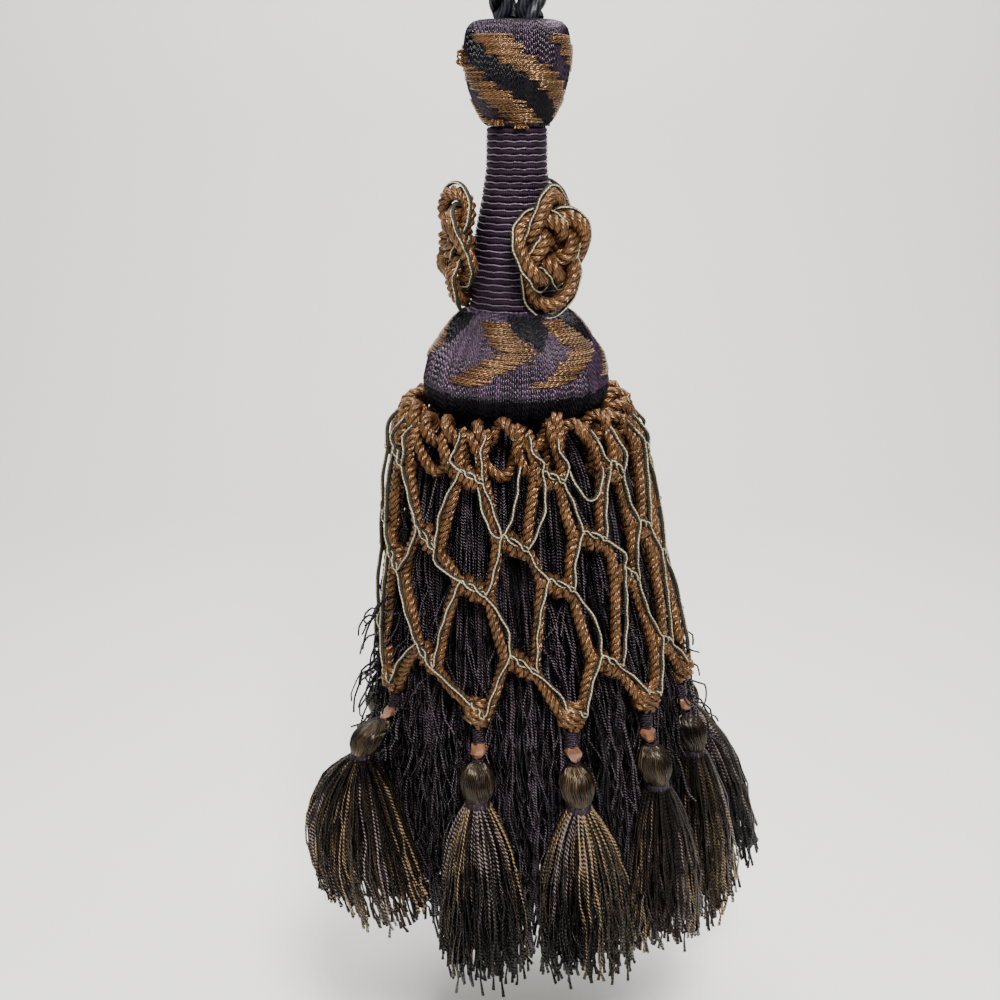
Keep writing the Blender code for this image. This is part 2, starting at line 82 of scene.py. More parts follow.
# (azimuth at the net's point, azimuth at the end, drop of the end, distance of the end from the axis,
# spread sideways, spread outwards, how far its ball head stands out from the net, tone from black to gold).
SMALL_TASSELS = (
    (-64.0, -55.0, 337.0, 66.0, 22.0, 14.0, 13.0, 0.62),
    (-21.0, -20.0, 354.0, 59.0, 13.0, 8.0, 3.4, 0.28),
    (12.0, 13.0, 351.0, 58.5, 14.0, 8.0, 3.4, 0.60),
    (43.0, 42.0, 348.0, 58.5, 12.5, 8.0, 3.4, 0.40),
    (72.0, 67.0, 351.0, 60.0, 12.0, 8.0, 3.4, 0.35),
    (104.0, 101.0, 352.0, 69.0, 14.0, 10.0, 3.4, 0.52),
    (136.0, 137.0, 350.0, 60.0, 13.5, 8.0, 3.4, 0.62),
    (168.0, 168.0, 347.0, 59.0, 13.5, 8.0, 3.4, 0.35),
    (200.0, 199.0, 351.0, 59.0, 13.0, 8.0, 3.4, 0.55),
    (230.0, 229.0, 348.0, 59.0, 12.5, 8.0, 3.4, 0.28),
    (262.0, 260.0, 350.0, 61.0, 12.0, 8.0, 3.4, 0.50),
)


# Places and paths

def read(table, at):
    """The table's second column where its first column is `at`."""
    heads = [row[0] for row in table]
    low = min(max(bisect_right(heads, at) - 1, 0), len(table) - 2)
    share = min(max((at - heads[low]) / (heads[low + 1] - heads[low]), 0.0), 1.0)
    return table[low][1] + (table[low + 1][1] - table[low][1]) * share


def shares(steps):
    """Evenly spaced shares from 0 to 1, with this many steps between them."""
    return [i / steps for i in range(steps + 1)]


def upright(turn, radius, drop):
    """The point at a turn (0 at the front, growing towards +X), a radius and a drop."""
    return Vector((radius * math.sin(turn), -radius * math.cos(turn), -drop))


def place(azimuth, radius, drop):
    """The point in metres at an azimuth, a radius and a drop; lower down the axis drifts aside."""
    return (upright(math.radians(azimuth), radius, drop) + Vector((read(DRIFT, drop), 0.0, 0.0))) * MM


def around(azimuth):
    """The (outward, sideways) directions at an azimuth."""
    turn = math.radians(azimuth)
    return Vector((math.sin(turn), -math.cos(turn), 0.0)), Vector((math.cos(turn), math.sin(turn), 0.0))


def smooth(points, step, closed=False):
    """A smooth curve through the points, with a point about every `step` metres."""
    count = len(points)
    found = []
    for i in range(count if closed else count - 1):
        ids = [(i + k) % count if closed else min(max(i + k, 0), count - 1) for k in (-1, 0, 1, 2)]
        a, b, c, d = (points[k] for k in ids)
        pieces = max(1, round((c - b).length / step))
        for j in range(pieces):
            t = j / pieces
            found.append(0.5 * (2 * b + (c - a) * t + (2 * a - 5 * b + 4 * c - d) * t * t
                                + (3 * b - a - 3 * c + d) * t ** 3))
    if not closed:
        found.append(points[-1].copy())
    return found


def length_of(points):
    """The length of a path."""
    return sum((b - a).length for a, b in zip(points, points[1:]))


def along_path(points, distance):
    """The point this far down a path."""
    for start, end in zip(points, points[1:]):
        length = (end - start).length
        if distance <= length:
            return start + (end - start) * (distance / length)
        distance -= length
    return points[-1].copy()


class Guides:
    """Middle lines that threads or cords lie along; `pitch` is the length of one turn of their plies."""

    def __init__(self, pitch=None):
        self.pitch = pitch
        self.points, self.edges, self.girth, self.phase, self.tone = [], [], [], [], []

    def add(self, points, girth=1.0, closed=False, tone=0.5):
        """Adds a line, whose girth and tone may be functions of the share down it."""
        first = len(self.points)
        count = len(points)
        walked = [0.0]
        for a, b in zip(points, points[1:]):
            walked.append(walked[-1] + (b - a).length)
        total = walked[-1] + ((points[0] - points[-1]).length if closed else 0.0)
        turns = total / self.pitch if self.pitch else 0.0
        if closed:
            turns = round(turns)
        self.points.extend(points)
        self.edges.extend((first + i, first + i + 1) for i in range(count - 1))
        if closed:
            self.edges.append((first + count - 1, first))
        self.girth.extend([girth(s / total) for s in walked] if callable(girth) else [girth] * count)
        self.phase.extend(turns * s / total for s in walked)
        self.tone.extend([tone(s / total) for s in walked] if callable(tone) else [tone] * count)

    def object(self, name):
        """The lines as an object, with their values on its points."""
        mesh = bpy.data.meshes.new(name)
        mesh.from_pydata(self.points, self.edges, [])
        for label, values in (("girth", self.girth), ("phase", self.phase), ("tone", self.tone)):
            mesh.attributes.new(label, "FLOAT", "POINT").data.foreach_set("value", values)
        return link(name, mesh)


def link(name, data):
    """A new object of this mesh, light or camera, in the scene."""
    obj = bpy.data.objects.new(name, data)
    bpy.context.scene.collection.objects.link(obj)
    return obj


def plain(obj):
    """Turns what the object's modifiers make into its own mesh."""
    bpy.context.view_layer.update()
    mesh = bpy.data.meshes.new_from_object(obj.evaluated_get(bpy.context.evaluated_depsgraph_get()))
    obj.modifiers.clear()
    obj.data = mesh
    mesh.name = obj.name
    return obj


def spaced(name):
    """The name of a node input that code writes with underscores."""
    return name.replace("_", " ")


def run_tree(obj, tree, **values):
    """Puts a node tree on the object with these inputs, and keeps what it makes."""
    modifier = obj.modifiers.new(tree.name, "NODES")
    modifier.node_group = tree
    known = {item.name: item.identifier for item in tree.interface.items_tree if item.in_out == "INPUT"}
    for name, value in values.items():
        modifier[known[spaced(name)]] = value
    return plain(obj)


def join(name, objects):
    """One object from several, keeping their materials and attributes."""
    bm = bmesh.new()
    materials = []
    for obj in objects:
        before = len(bm.faces)
        bm.from_mesh(obj.data)
        bm.faces.ensure_lookup_table()
        if obj.data.materials[0] not in materials:
            materials.append(obj.data.materials[0])
        slot = materials.index(obj.data.materials[0])
        for face in bm.faces[before:]:
            face.material_index = slot
        bpy.data.objects.remove(obj)
    mesh = bpy.data.meshes.new(name)
    bm.to_mesh(mesh)
    bm.free()
    for item in materials:
        mesh.materials.append(item)
    return link(name, mesh)


def dress(obj, slot, *nodes):
    """Hands a finished piece to the frame."""
    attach(obj, ROOT)
    if nodes:
        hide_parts(*nodes)
    return obj


# Node trees

class Nodes:
    """Adds nodes to a tree, with their settings and links."""

    def __init__(self, tree):
        self.tree = tree

    def fill(self, made, inputs):
        """Sets a node's inputs: a socket is linked, and anything else is the input's own value."""
        for key, value in inputs.items():
            if isinstance(value, bpy.types.NodeSocket):
                self.tree.links.new(value, made.inputs[key])
            else:
                made.inputs[key].default_value = value

    def node(self, kind, inputs=None, **settings):
        """A new node with these inputs and settings."""
        made = self.tree.nodes.new(kind)
        for key, value in settings.items():
            setattr(made, key, value)
        self.fill(made, inputs or {})
        return made

    def math(self, operation, *values):
        """The result of one sum."""
        return self.node("ShaderNodeMath", dict(enumerate(values)), operation=operation).outputs[0]


class Group(Nodes):
    """A node group under construction; its inputs and outputs are dicts of name and type."""

    def __init__(self, name, kind, inputs, outputs):
        super().__init__(bpy.data.node_groups.new(name, kind))
        for in_out, sockets in (("INPUT", inputs), ("OUTPUT", outputs)):
            for label, what in sockets.items():
                self.tree.interface.new_socket(spaced(label), in_out=in_out, socket_type="NodeSocket" + what)
        self.given = self.node("NodeGroupInput").outputs


class Tree(Group):
    """A geometry tree that turns guides into a mesh."""

    def __init__(self, name, **inputs):
        inputs = {"Guides": "Geometry", **inputs, "Material": "Material"}
        super().__init__(name, "GeometryNodeTree", inputs, {"Mesh": "Geometry"})
        self.guides = self.node("GeometryNodeMeshToCurve", {"Mesh": self.given["Guides"]}).outputs[0]

    def vector(self, operation, inputs):
        """The result of one sum of vectors."""
        return self.node("ShaderNodeVectorMath", inputs, operation=operation).outputs["Vector"]

    def scale(self, first, scale):
        """A vector made longer or shorter."""
        return self.vector("SCALE", {0: first, "Scale": scale})

    def copies(self, curve, amount):
        """The node that repeats each curve."""
        inputs = {"Geometry": curve, "Amount": amount}
        return self.node("GeometryNodeDuplicateElements", inputs, domain="SPLINE")

    def moved(self, curve, **inputs):
        """The curve with its points moved."""
        return self.node("GeometryNodeSetPosition", {"Geometry": curve, **inputs}).outputs[0]

    def ripple(self, position, seed, scale, amount):
        """A smooth random step for each position."""
        inputs = {"Vector": position, "W": seed, "Scale": scale, "Detail": 2.0}
        noise = self.node("ShaderNodeTexNoise", inputs, noise_dimensions="4D").outputs["Color"]
        return self.scale(self.vector("SUBTRACT", {0: noise, 1: (0.5, 0.5, 0.5)}), amount)

    def value(self, name):
        """A value that the guides carry."""
        return self.node("GeometryNodeInputNamedAttribute", {"Name": name}, data_type="FLOAT").outputs[0]

    def store(self, geometry, name, value, kind="FLOAT"):
        """The geometry with this value on its points."""
        inputs = {"Geometry": geometry, "Name": name, "Value": value}
        return self.node("GeometryNodeStoreNamedAttribute", inputs, data_type=kind, domain="POINT").outputs[0]

    def aside(self, angle, distance):
        """A step away from the middle line at this angle about it."""
        normal = self.node("GeometryNodeInputNormal").outputs["Normal"]
        tangent = self.node("GeometryNodeInputTangent").outputs[0]
        other = self.vector("CROSS_PRODUCT", {0: tangent, 1: normal})
        first = self.scale(normal, self.math("COSINE", angle))
        second = self.scale(other, self.math("SINE", angle))
        return self.scale(self.vector("ADD", {0: first, 1: second}), distance)

    def tube(self, curve, radius, scale):
        """The finished tree: tubes along the curve, with `ring` and `along` for the fibres drawn on them."""
        walked = self.node("GeometryNodeSplineParameter")
        curve = self.store(curve, "along", self.math("MULTIPLY", walked.outputs["Length"], 1.0 / MM))
        inputs = {"Resolution": self.given["Sides"], "Radius": radius}
        circle = self.node("GeometryNodeCurvePrimitiveCircle", inputs)
        turn = self.math("MULTIPLY", self.node("GeometryNodeSplineParameter").outputs["Factor"], math.tau)
        ring = self.node("ShaderNodeCombineXYZ", {0: self.math("COSINE", turn), 1: self.math("SINE", turn)})
        profile = self.store(circle.outputs["Curve"], "ring", ring.outputs[0], "FLOAT_VECTOR")
        inputs = {"Curve": curve, "Profile Curve": profile, "Scale": scale, "Fill Caps": True}
        mesh = self.node("GeometryNodeCurveToMesh", inputs).outputs[0]
        mesh = self.node("GeometryNodeRealizeInstances", {"Geometry": mesh}).outputs[0]
        mesh = self.node("GeometryNodeSetShadeSmooth", {"Geometry": mesh, "Shade Smooth": True}).outputs[0]
        inputs = {"Geometry": mesh, "Material": self.given["Material"]}
        self.node("NodeGroupOutput", {0: self.node("GeometryNodeSetMaterial", inputs).outputs[0]})
        return self.tree


def laid_cord_tree():
    """Plies laid round a middle line, as in a twisted cord or rope. One ply makes a plain thread."""
    t = Tree("Laid Cord", Plies="Int", Lay_Radius="Float", Ply_Radius="Float", Sides="Int")
    plies = t.copies(t.guides, t.given["Plies"])
    share = t.math("DIVIDE", plies.outputs["Duplicate Index"], t.given["Plies"])
    angle = t.math("MULTIPLY", t.math("ADD", share, t.value("phase")), math.tau)
    offset = t.aside(angle, t.math("MULTIPLY", t.given["Lay Radius"], t.value("girth")))
    return t.tube(t.moved(plies.outputs[0], Offset=offset), t.given["Ply Radius"], t.value("girth"))


FRAYED_FROM, FRAYED_BY = 0.98, 0.8  # share of a thread where its frayed end starts, and how much it widens


def fringe_tree():
    """Many loose threads about each guide, each on its own path and of its own length."""
    t = Tree("Thread Fringe", Threads="Int", Thread_Radius="Float", Wander="Float", Ripple="Float",
             Uneven="Float", Seed="Int", Points="Int", Sides="Int")
    curve = t.node("GeometryNodeResampleCurve", {"Curve": t.guides, "Count": t.given["Points"]}).outputs[0]
    spline = t.node("GeometryNodeCurveOfPoint").outputs["Curve Index"]

    def chance(low, high, offset, who=spline):
        """A random value for each of `who`; 2 and 3 are the node's float limits, 7 its ID and 8 its seed."""
        inputs = {2: low, 3: high, 7: who, 8: t.math("ADD", t.given["Seed"], offset)}
        return t.node("FunctionNodeRandomValue", inputs, data_type="FLOAT").outputs[1]

    away = t.math("SQRT", chance(0.0, 1.0, 1.0))
    offset = t.aside(chance(0.0, math.tau, 0.0), t.math("MULTIPLY", away, t.value("girth")))
    down = t.node("GeometryNodeSplineParameter").outputs["Factor"]
    position = t.node("GeometryNodeInputPosition").outputs[0]
    wander = t.math("MULTIPLY", t.given["Wander"], down)
    ripple = t.ripple(position, chance(0.0, 90.0, 2.0), t.given["Ripple"], wander)
    many = t.copies(curve, t.given["Threads"]).outputs[0]
    moved = t.moved(many, Offset=t.vector("ADD", {0: offset, 1: ripple}))
    toned = t.store(moved, "tone", t.math("ADD", t.value("tone"), chance(-0.5, 0.5, 3.0)))
    index = t.node("GeometryNodeInputIndex").outputs[0]
    kept = t.math("SUBTRACT", 1.0, t.math("MULTIPLY", t.given["Uneven"], chance(0.0, 1.0, 4.0, index)))
    cut = t.node("GeometryNodeTrimCurve", {"Curve": toned, "End": kept}, mode="FACTOR").outputs[0]
    at_end = t.math("GREATER_THAN", t.node("GeometryNodeSplineParameter").outputs["Factor"], FRAYED_FROM)
    return t.tube(cut, t.given["Thread Radius"], t.math("MULTIPLY_ADD", at_end, FRAYED_BY, 1.0))


def wound_tree():
    """One thread laid from top to bottom, repeated round the upright axis, as floss wound over a mould."""
    t = Tree("Wound Floss", Count="Int", Thread_Radius="Float", Wander="Float", Seed="Int", Sides="Int")
    many = t.copies(t.guides, t.given["Count"])
    turn = t.math("MULTIPLY", t.math("DIVIDE", many.outputs["Duplicate Index"], t.given["Count"]), math.tau)
    inputs = {"Vector": t.node("GeometryNodeInputPosition").outputs[0], "Angle": turn}
    turned = t.node("ShaderNodeVectorRotate", inputs, rotation_type="Z_AXIS").outputs[0]
    ripple = t.ripple(turned, t.given["Seed"], 420.0, t.given["Wander"])
    moved = t.moved(many.outputs[0], Position=turned, Offset=ripple)
    spline = t.node("GeometryNodeCurveOfPoint").outputs["Curve Index"]
    tone = t.node("ShaderNodeTexWhiteNoise", {"W": spline}, noise_dimensions="1D").outputs["Value"]
    return t.tube(t.store(moved, "tone", tone), t.given["Thread Radius"], t.value("girth"))


# Materials

MOTTLE_SHARE = 0.9  # how much the broad mottle moves a yarn's colour
FINE_NOISE, BROAD_NOISE = 900.0, 160.0  # scales of the noise that frays the fibres and of the mottle
FRAY_TURN, TONE_TURN = 12.0, 16.0  # radians by which a full fray and a full tone shift a thread's fibres


def spun_group():
    """Fibres that wind round a thread: a ridge mask, a mottle and the thread's own tone."""
    t = Group("Spun Fibres", "ShaderNodeTree", dict.fromkeys(("Fibres", "Twist", "Fray"), "Float"),
              dict.fromkeys(("Ridge", "Mottle", "Tone"), "Float"))
    ring, along, tone = (t.node("ShaderNodeAttribute", attribute_name=name).outputs
                         for name in ("ring", "along", "tone"))
    split = t.node("ShaderNodeSeparateXYZ", {0: ring["Vector"]}).outputs
    spot = t.node("ShaderNodeTexCoord").outputs["Object"]
    fine = t.node("ShaderNodeTexNoise", {"Vector": spot, "Scale": FINE_NOISE, "Detail": 3.0}).outputs["Fac"]
    broad = t.node("ShaderNodeTexNoise", {"Vector": spot, "Scale": BROAD_NOISE, "Detail": 4.0}).outputs["Fac"]
    fray = t.math("MULTIPLY", fine, t.math("MULTIPLY", t.given["Fray"], FRAY_TURN))
    wound = t.math("ADD", t.math("MULTIPLY", t.math("ARCTAN2", split[1], split[0]), t.given["Fibres"]),
                   t.math("MULTIPLY", along["Fac"], t.given["Twist"]))
    wound = t.math("ADD", wound, t.math("MULTIPLY", tone["Fac"], TONE_TURN))
    wave = t.math("SINE", t.math("ADD", wound, fray))
    ridge = t.math("MULTIPLY_ADD", wave, 0.5, 0.5)
    t.node("NodeGroupOutput", {"Ridge": ridge, "Mottle": broad, "Tone": tone["Fac"]})


def material(name):
    """A new material with the builder of its nodes and its shader."""
    made = bpy.data.materials.new(name)
    made.use_nodes = True
    return made, Nodes(made.node_tree), made.node_tree.nodes["Principled BSDF"]


def yarn(name, colours, fibres, twist, roughness=0.42, bump=0.00012, fray=0.25, by_tone=0.5, by_ridge=0.55,
         tint=(1.0, 1.0, 1.0), gloss=0.5, metal=0.0):
    """A yarn's material. `colours` is a list of (stop, colour) from shadow to highlight."""
    made, t, shader = material(name)
    spun = t.node("ShaderNodeGroup", node_tree=bpy.data.node_groups["Spun Fibres"])
    t.fill(spun, {"Fibres": fibres, "Twist": twist, "Fray": fray})
    # Mottle and tone are the yarn's own colour; the ridge's share paints highlights on the fibres' ridges and
    # shade in the grooves between them.
    factor = 0.75 - by_ridge - MOTTLE_SHARE / 2 - by_tone / 2
    for output, share in (("Mottle", MOTTLE_SHARE), ("Tone", by_tone), ("Ridge", by_ridge)):
        factor = t.math("MULTIPLY_ADD", spun.outputs[output], share, factor)
    ramp = t.node("ShaderNodeValToRGB", {"Fac": factor})
    while len(ramp.color_ramp.elements) < len(colours):
        ramp.color_ramp.elements.new(0.5)
    for element, (stop, colour) in zip(ramp.color_ramp.elements, colours):
        element.position = stop
        element.color = (*colour, 1.0)
    bumped = t.node("ShaderNodeBump", {"Distance": bump, "Strength": 0.9, "Height": spun.outputs["Ridge"]})
    t.fill(shader, {"Base Color": ramp.outputs["Color"], "Normal": bumped.outputs["Normal"],
                    "Roughness": roughness, "Specular IOR Level": gloss, "Specular Tint": (*tint, 1.0),
                    "Metallic": metal})
    return made


def shades(low, middle, high):
    """A yarn's colours from its shadow to its highlight."""
    return ((0.0, low), (0.45, middle), (1.0, high))


def bead_material():
    """Dark amber glass with a lighter cloud in it."""
    made, t, shader = material("amber bead")
    spot = t.node("ShaderNodeTexCoord").outputs["Object"]
    noise = t.node("ShaderNodeTexNoise", {"Vector": spot, "Scale": 320.0}).outputs["Fac"]
    ramp = t.node("ShaderNodeValToRGB", {"Fac": noise})
    ramp.color_ramp.elements[0].color = (0.035, 0.011, 0.005, 1.0)
    ramp.color_ramp.elements[1].color = (0.260, 0.115, 0.060, 1.0)
    t.fill(shader, {"Base Color": ramp.outputs["Color"], "Roughness": 0.22, "Coat Weight": 0.3})
    return made


def yarns(bronze, floss):
    """Each yarn's (name, label, colours, fibres, twist, the rest of what yarn() takes)."""
    # Each list of colours runs from painted shade in the fibres' grooves to painted highlight on their
    # ridges, over the threads' own tones.
    mixed = ((0.0, (0.0006, 0.0004, 0.0005)), (0.42, (0.0026, 0.0016, 0.0018)), (0.60, (0.014, 0.008, 0.003)),
             (0.80, (0.058, 0.035, 0.017)), (1.0, (0.29, 0.193, 0.10)))
    dusky = ((0.0, (0.0004, 0.0003, 0.0003)), (0.50, (0.0020, 0.0012, 0.0010)),
             (0.70, (0.010, 0.0062, 0.0048)), (0.85, (0.044, 0.031, 0.026)), (1.0, (0.22, 0.175, 0.16)))
    skirt = ((0.0, (0.0003, 0.0002, 0.0002)), (0.60, (0.0010, 0.0006, 0.0009)), (0.85, (0.011, 0.007, 0.010)),
             (1.0, (0.105, 0.080, 0.095)))
    fine = dict(roughness=0.22, by_tone=0.8, by_ridge=0.6, bump=0.0005, fray=0.10)
    return (
        ("bronze", "bronze cord", shades(bronze * 0.16, bronze * 0.8, bronze * 3.1), 7.0, 4.0,
         dict(roughness=0.28, by_tone=0.1, by_ridge=0.5, tint=(1.0, 0.78, 0.54), gloss=0.8, metal=0.45,
              bump=0.00014, fray=0.35)),
        ("stitch", "bronze stitches", shades(bronze * 0.10, bronze * 0.82, bronze * 2.5), 2.0, 3.6,
         dict(roughness=0.26, by_tone=0.6, tint=(1.0, 0.76, 0.50), gloss=1.0, metal=0.35, bump=0.00025)),
        ("edging", "olive gimp", shades((0.004, 0.003, 0.002), (0.012, 0.010, 0.006), (0.040, 0.034, 0.020)),
         1.0, 9.0, dict(roughness=0.6, bump=0.0002, by_tone=0.0, gloss=0.2)),
        # A pale thread on the gimp's outer side, as its painted highlight.
        ("painted_highlight", "cream gimp line", shades((0.07, 0.055, 0.028), (0.29, 0.24, 0.14), (0.55, 0.47, 0.31)),
         1.0, 5.0, dict(roughness=0.4, bump=0.0002, by_tone=0.0)),
        ("floss", "aubergine floss", shades(floss * 0.2, floss, floss * 4.5), 2.0, 3.6,
         dict(roughness=0.30, by_tone=0.5, gloss=0.4, tint=(0.95, 0.80, 0.92), bump=0.00025)),
        ("lilac_floss", "lilac floss", shades(floss * 0.4, floss * 1.7, floss * 9.0), 2.0, 3.6,
         dict(roughness=0.30, by_tone=0.45, gloss=0.42, tint=(1.0, 0.86, 0.96), bump=0.0003)),
        # Black floss: the real black patches between the bands, and painted shade on the bun's underside.
        ("black_floss", "black floss",
         shades((0.001, 0.0008, 0.001), (0.003, 0.0025, 0.0035), (0.010, 0.008, 0.011)), 2.0, 3.6,
         dict(roughness=0.26, by_tone=0.4, gloss=0.14, bump=0.0003)),
        ("gimp", "purple gimp",
         shades((0.0012, 0.0005, 0.001), (0.0048, 0.0018, 0.0042), (0.015, 0.007, 0.014)), 1.0, 9.0,
         dict(roughness=0.6, fray=0.05, by_tone=0.25, gloss=0.2, tint=(0.9, 0.6, 0.85))),
        ("lilac", "lilac thread", shades((0.024, 0.015, 0.024), (0.088, 0.062, 0.090), (0.22, 0.17, 0.22)),
         3.0, 4.0, dict(roughness=0.45, by_tone=0.3)),
        ("rope", "black rope", shades((0.001, 0.001, 0.0015), (0.004, 0.004, 0.006), (0.022, 0.021, 0.030)),
         9.0, 2.0, dict(by_tone=0.1, gloss=0.22)),
        ("skirt", "skirt thread", skirt, 1.0, 6.5,
         dict(roughness=0.20, by_tone=0.8, by_ridge=0.7, gloss=0.22, tint=(1.0, 0.86, 0.90), bump=0.0005,
              fray=0.10)),
        ("core", "under thread",
         shades((0.0005, 0.0003, 0.0005), (0.001, 0.0006, 0.001), (0.002, 0.0014, 0.002)), 20.0, 0.5,
         dict(roughness=0.9, by_tone=0.0, gloss=0.1)),
        ("golden", "golden thread", mixed, 1.0, 5.2, dict(tint=(1.0, 0.84, 0.62), gloss=0.30, **fine)),
        ("dusky", "dusky thread", dusky, 1.0, 5.2, dict(tint=(1.0, 0.88, 0.84), gloss=0.16, **fine)),
        ("ball", "ball thread", mixed, 4.0, 0.8,
         dict(roughness=0.27, by_tone=0.6, by_ridge=0.35, tint=(1.0, 0.86, 0.66), gloss=0.35)),
        ("binding", "purple binding",
         shades((0.001, 0.0005, 0.001), (0.0045, 0.0022, 0.0040), (0.026, 0.017, 0.024)), 2.0, 4.5,
         dict(roughness=0.32, by_tone=0.4, tint=(1.0, 0.8, 0.95), gloss=0.3, bump=0.0003)),
    )


MATERIALS = {}
TREES = {}


def prepare():
    """Builds the trees and materials that the pieces share."""
    look = bpy.context.scene.tassel_colours
    TREES.update(cord=laid_cord_tree(), fringe=fringe_tree(), wound=wound_tree())
    spun_group()
    for name, label, colours, fibres, twist, rest in yarns(Vector(look.bronze), Vector(look.floss)):
        MATERIALS[name] = yarn(label, colours, fibres, twist, **rest)
    MATERIALS["bead"] = bead_material()


# Shared forms

CORE_SIDES, CORE_INSET = 64, 0.55
GIMP_R = 0.62
# The pale line, a painted highlight along the gimp's outer side: its radius, how far it lies out of the
# gimp's middle, how far it waves and its turn at a step.
LINE_R, LINE_OUT, LINE_WAVE, LINE_TURN = 0.25, 0.56, 0.22, 1.3


def skin(name, rings, surface):
    """A closed mesh over rings of points, with a face over the first ring and over the last."""
    bm = bmesh.new()
    rows = [[bm.verts.new(point) for point in ring] for ring in rings]
    for first, second in zip(rows, rows[1:]):
        for i in range(len(first)):
            j = (i + 1) % len(first)
            bm.faces.new((first[i], second[i], second[j], first[j]))
    bm.faces.new(rows[0])
    bm.faces.new(rows[-1])
    bmesh.ops.recalc_face_normals(bm, faces=bm.faces)
    mesh = bpy.data.meshes.new(name)
    bm.to_mesh(mesh)
    bm.free()
    mesh.materials.append(MATERIALS[surface])
    return link(name, mesh)


def turned(name, outline, top, inset):
    """A closed dark body a little inside its outline, which fills the gaps between the threads on it."""
    rows = smooth([Vector((radius - inset, 0.0, -(top + drop))) for drop, radius in outline], 1.0)
    turns = [math.tau * share for share in shares(CORE_SIDES)[:-1]]
    rings = [[Vector((row.x * math.cos(turn), row.x * math.sin(turn), row.z)) * MM for turn in turns]
             for row in rows]
    made = skin(name, rings, "core")
    made.data.shade_smooth()
    return made


def on_body(outline, top, azimuth, at, rise):
    """The point on a turned body at an azimuth and a drop from its top, standing out by `rise`."""
    return upright(math.radians(azimuth), read(outline, at) + rise, top + at) * MM


def lay_cord(name, guides, surface, lay, ply, sides=7, plies=3):
    """Twisted cord along the guides; `lay` is the distance from its middle to that of each ply."""
    return run_tree(guides.object(name), TREES["cord"], Plies=plies, Lay_Radius=lay * MM, Ply_Radius=ply * MM,
                    Sides=sides, Material=MATERIALS[surface])


def lay_thread(name, guides, surface, radius, sides):
    """One plain thread along each guide."""
    return lay_cord(name, guides, surface, 0.0, radius, sides, 1)


def lay_gimp(name, paths, closed=False):
    """A dark olive gimp with a wavy pale line along its outer side, which is a painted highlight."""
    body, line = Guides(), Guides()
    for path in paths:
        body.add(path, closed=closed)
        on_top = []
        for i, point in enumerate(path):
            outwards = Vector((point.x, point.y, 0.0)).normalized()
            sideways = Vector((-outwards.y, outwards.x, 0.0))
            on_top.append(point + (outwards * LINE_OUT + sideways * LINE_WAVE * math.sin(LINE_TURN * i)) * MM)
        line.add(on_top, closed=closed)
    return [lay_thread(name + "_body", body, "edging", GIMP_R, 5),
            lay_thread(name + "_line", line, "painted_highlight", LINE_R, 4)]


def lay_fringe(name, guides, surface, radius, **values):
    """Loose threads about each guide; `values` are the rest of the fringe tree's inputs."""
    return run_tree(guides.object(name), TREES["fringe"], Thread_Radius=radius * MM, Sides=3,
                    Material=MATERIALS[surface], **values)


# Rope

ROPE_PITCH = 24.0
# How far out each strand lies and its radius, as shares of the rope's diameter.
STRAND_LAY, STRAND_R = 0.268, 0.232
LEG_R = 4.55  # distance of each leg's middle from the axis, where the two twist about each other
# Where the twist starts: its turn and its rise over the rope's foot. Then the drop where it ends.
TWIST_FROM, TWIST_RISE, TWIST_TOP = math.radians(-35.0), 3.0, 34.0
PARTING_OUT, PARTING_UP = 3.6, 8.0  # how far a leg has moved out and up on its way into the loop
# Radius of the loop, half the rope's thickness, and where the loop's half starts and how far it turns.
LOOP_R, LOOP_LIFT, LOOP_FROM, LOOP_ANGLE = 17.5, 4.25, -8.0, 98.0


def rope_route():
    """Up from the cup, half a turn about the other leg, round the open loop and down again."""
    up = []
    for share in shares(6):
        turn = TWIST_FROM + (math.pi - TWIST_FROM) * share
        drop = (ROPE_FOOT - TWIST_RISE) * (1.0 - share) + TWIST_TOP * share
        up.append(Vector((-LEG_R * math.cos(turn), -LEG_R * math.sin(turn), -drop)))
    up.append(Vector((LEG_R + PARTING_OUT, 0.0, PARTING_UP - TWIST_TOP)))
    for share in shares(6):
        angle = math.radians(LOOP_FROM + LOOP_ANGLE * share)
        up.append(Vector((LOOP_R * math.cos(angle), 0.0, LOOP_R * math.sin(angle) - LOOP_R + LOOP_LIFT)))
    down = [Vector((-p.x, -p.y, p.z)) for p in reversed(up[:-1])]
    ends = [Vector((p.x, p.y, -ROPE_FOOT)) for p in (up[0], down[-1])]
    return smooth([p * MM for p in [ends[0], *up, *down, ends[1]]], CORD_STEP * MM)


class TASSEL_OT_rope(bpy.types.Operator):
    """Lays the three-strand rope and its hanging loop"""
    bl_idname = "tassel.rope"
    bl_label = "Rope"

    def execute(self, context):
        thick = context.scene.tassel_sizes.rope
        route = rope_route()
        guides = Guides(ROPE_PITCH * MM)
        guides.add(route)
        rope = lay_cord("rope", guides, "rope", thick * STRAND_LAY / MM, thick * STRAND_R / MM, 12)
        dress(rope, "rope", "rope_loop")
        return {"FINISHED"}


# Head

BUN_EDGE = 22.8  # where the bun's lilac floss ends and its underside starts, which is wound with black floss as painted shade
BUN_UPPER = (*[row for row in BUN_OUTLINE if row[0] < BUN_EDGE], (BUN_EDGE + 0.6, 28.9))
BUN_PAINTED_SHADE = ((BUN_EDGE, 29.0), *[row for row in BUN_OUTLINE if row[0] > BUN_EDGE])
# (label, outline, radius where it starts, threads, radius of a thread, wander, seed, surface).
CUP_FLOSS = (("thread", CUP_OUTLINE, 4.0, 150, 0.40, 0.35, 2, "floss"),)
BUN_FLOSS = (("thread", BUN_UPPER, 12.5, 250, 0.42, 0.22, 4, "lilac_floss"),
             # Black floss over the bun's underside: painted shade where the underside turns away from the
             # light.
             ("under", BUN_PAINTED_SHADE, 28.2, 250, 0.42, 0.2, 5, "black_floss"))
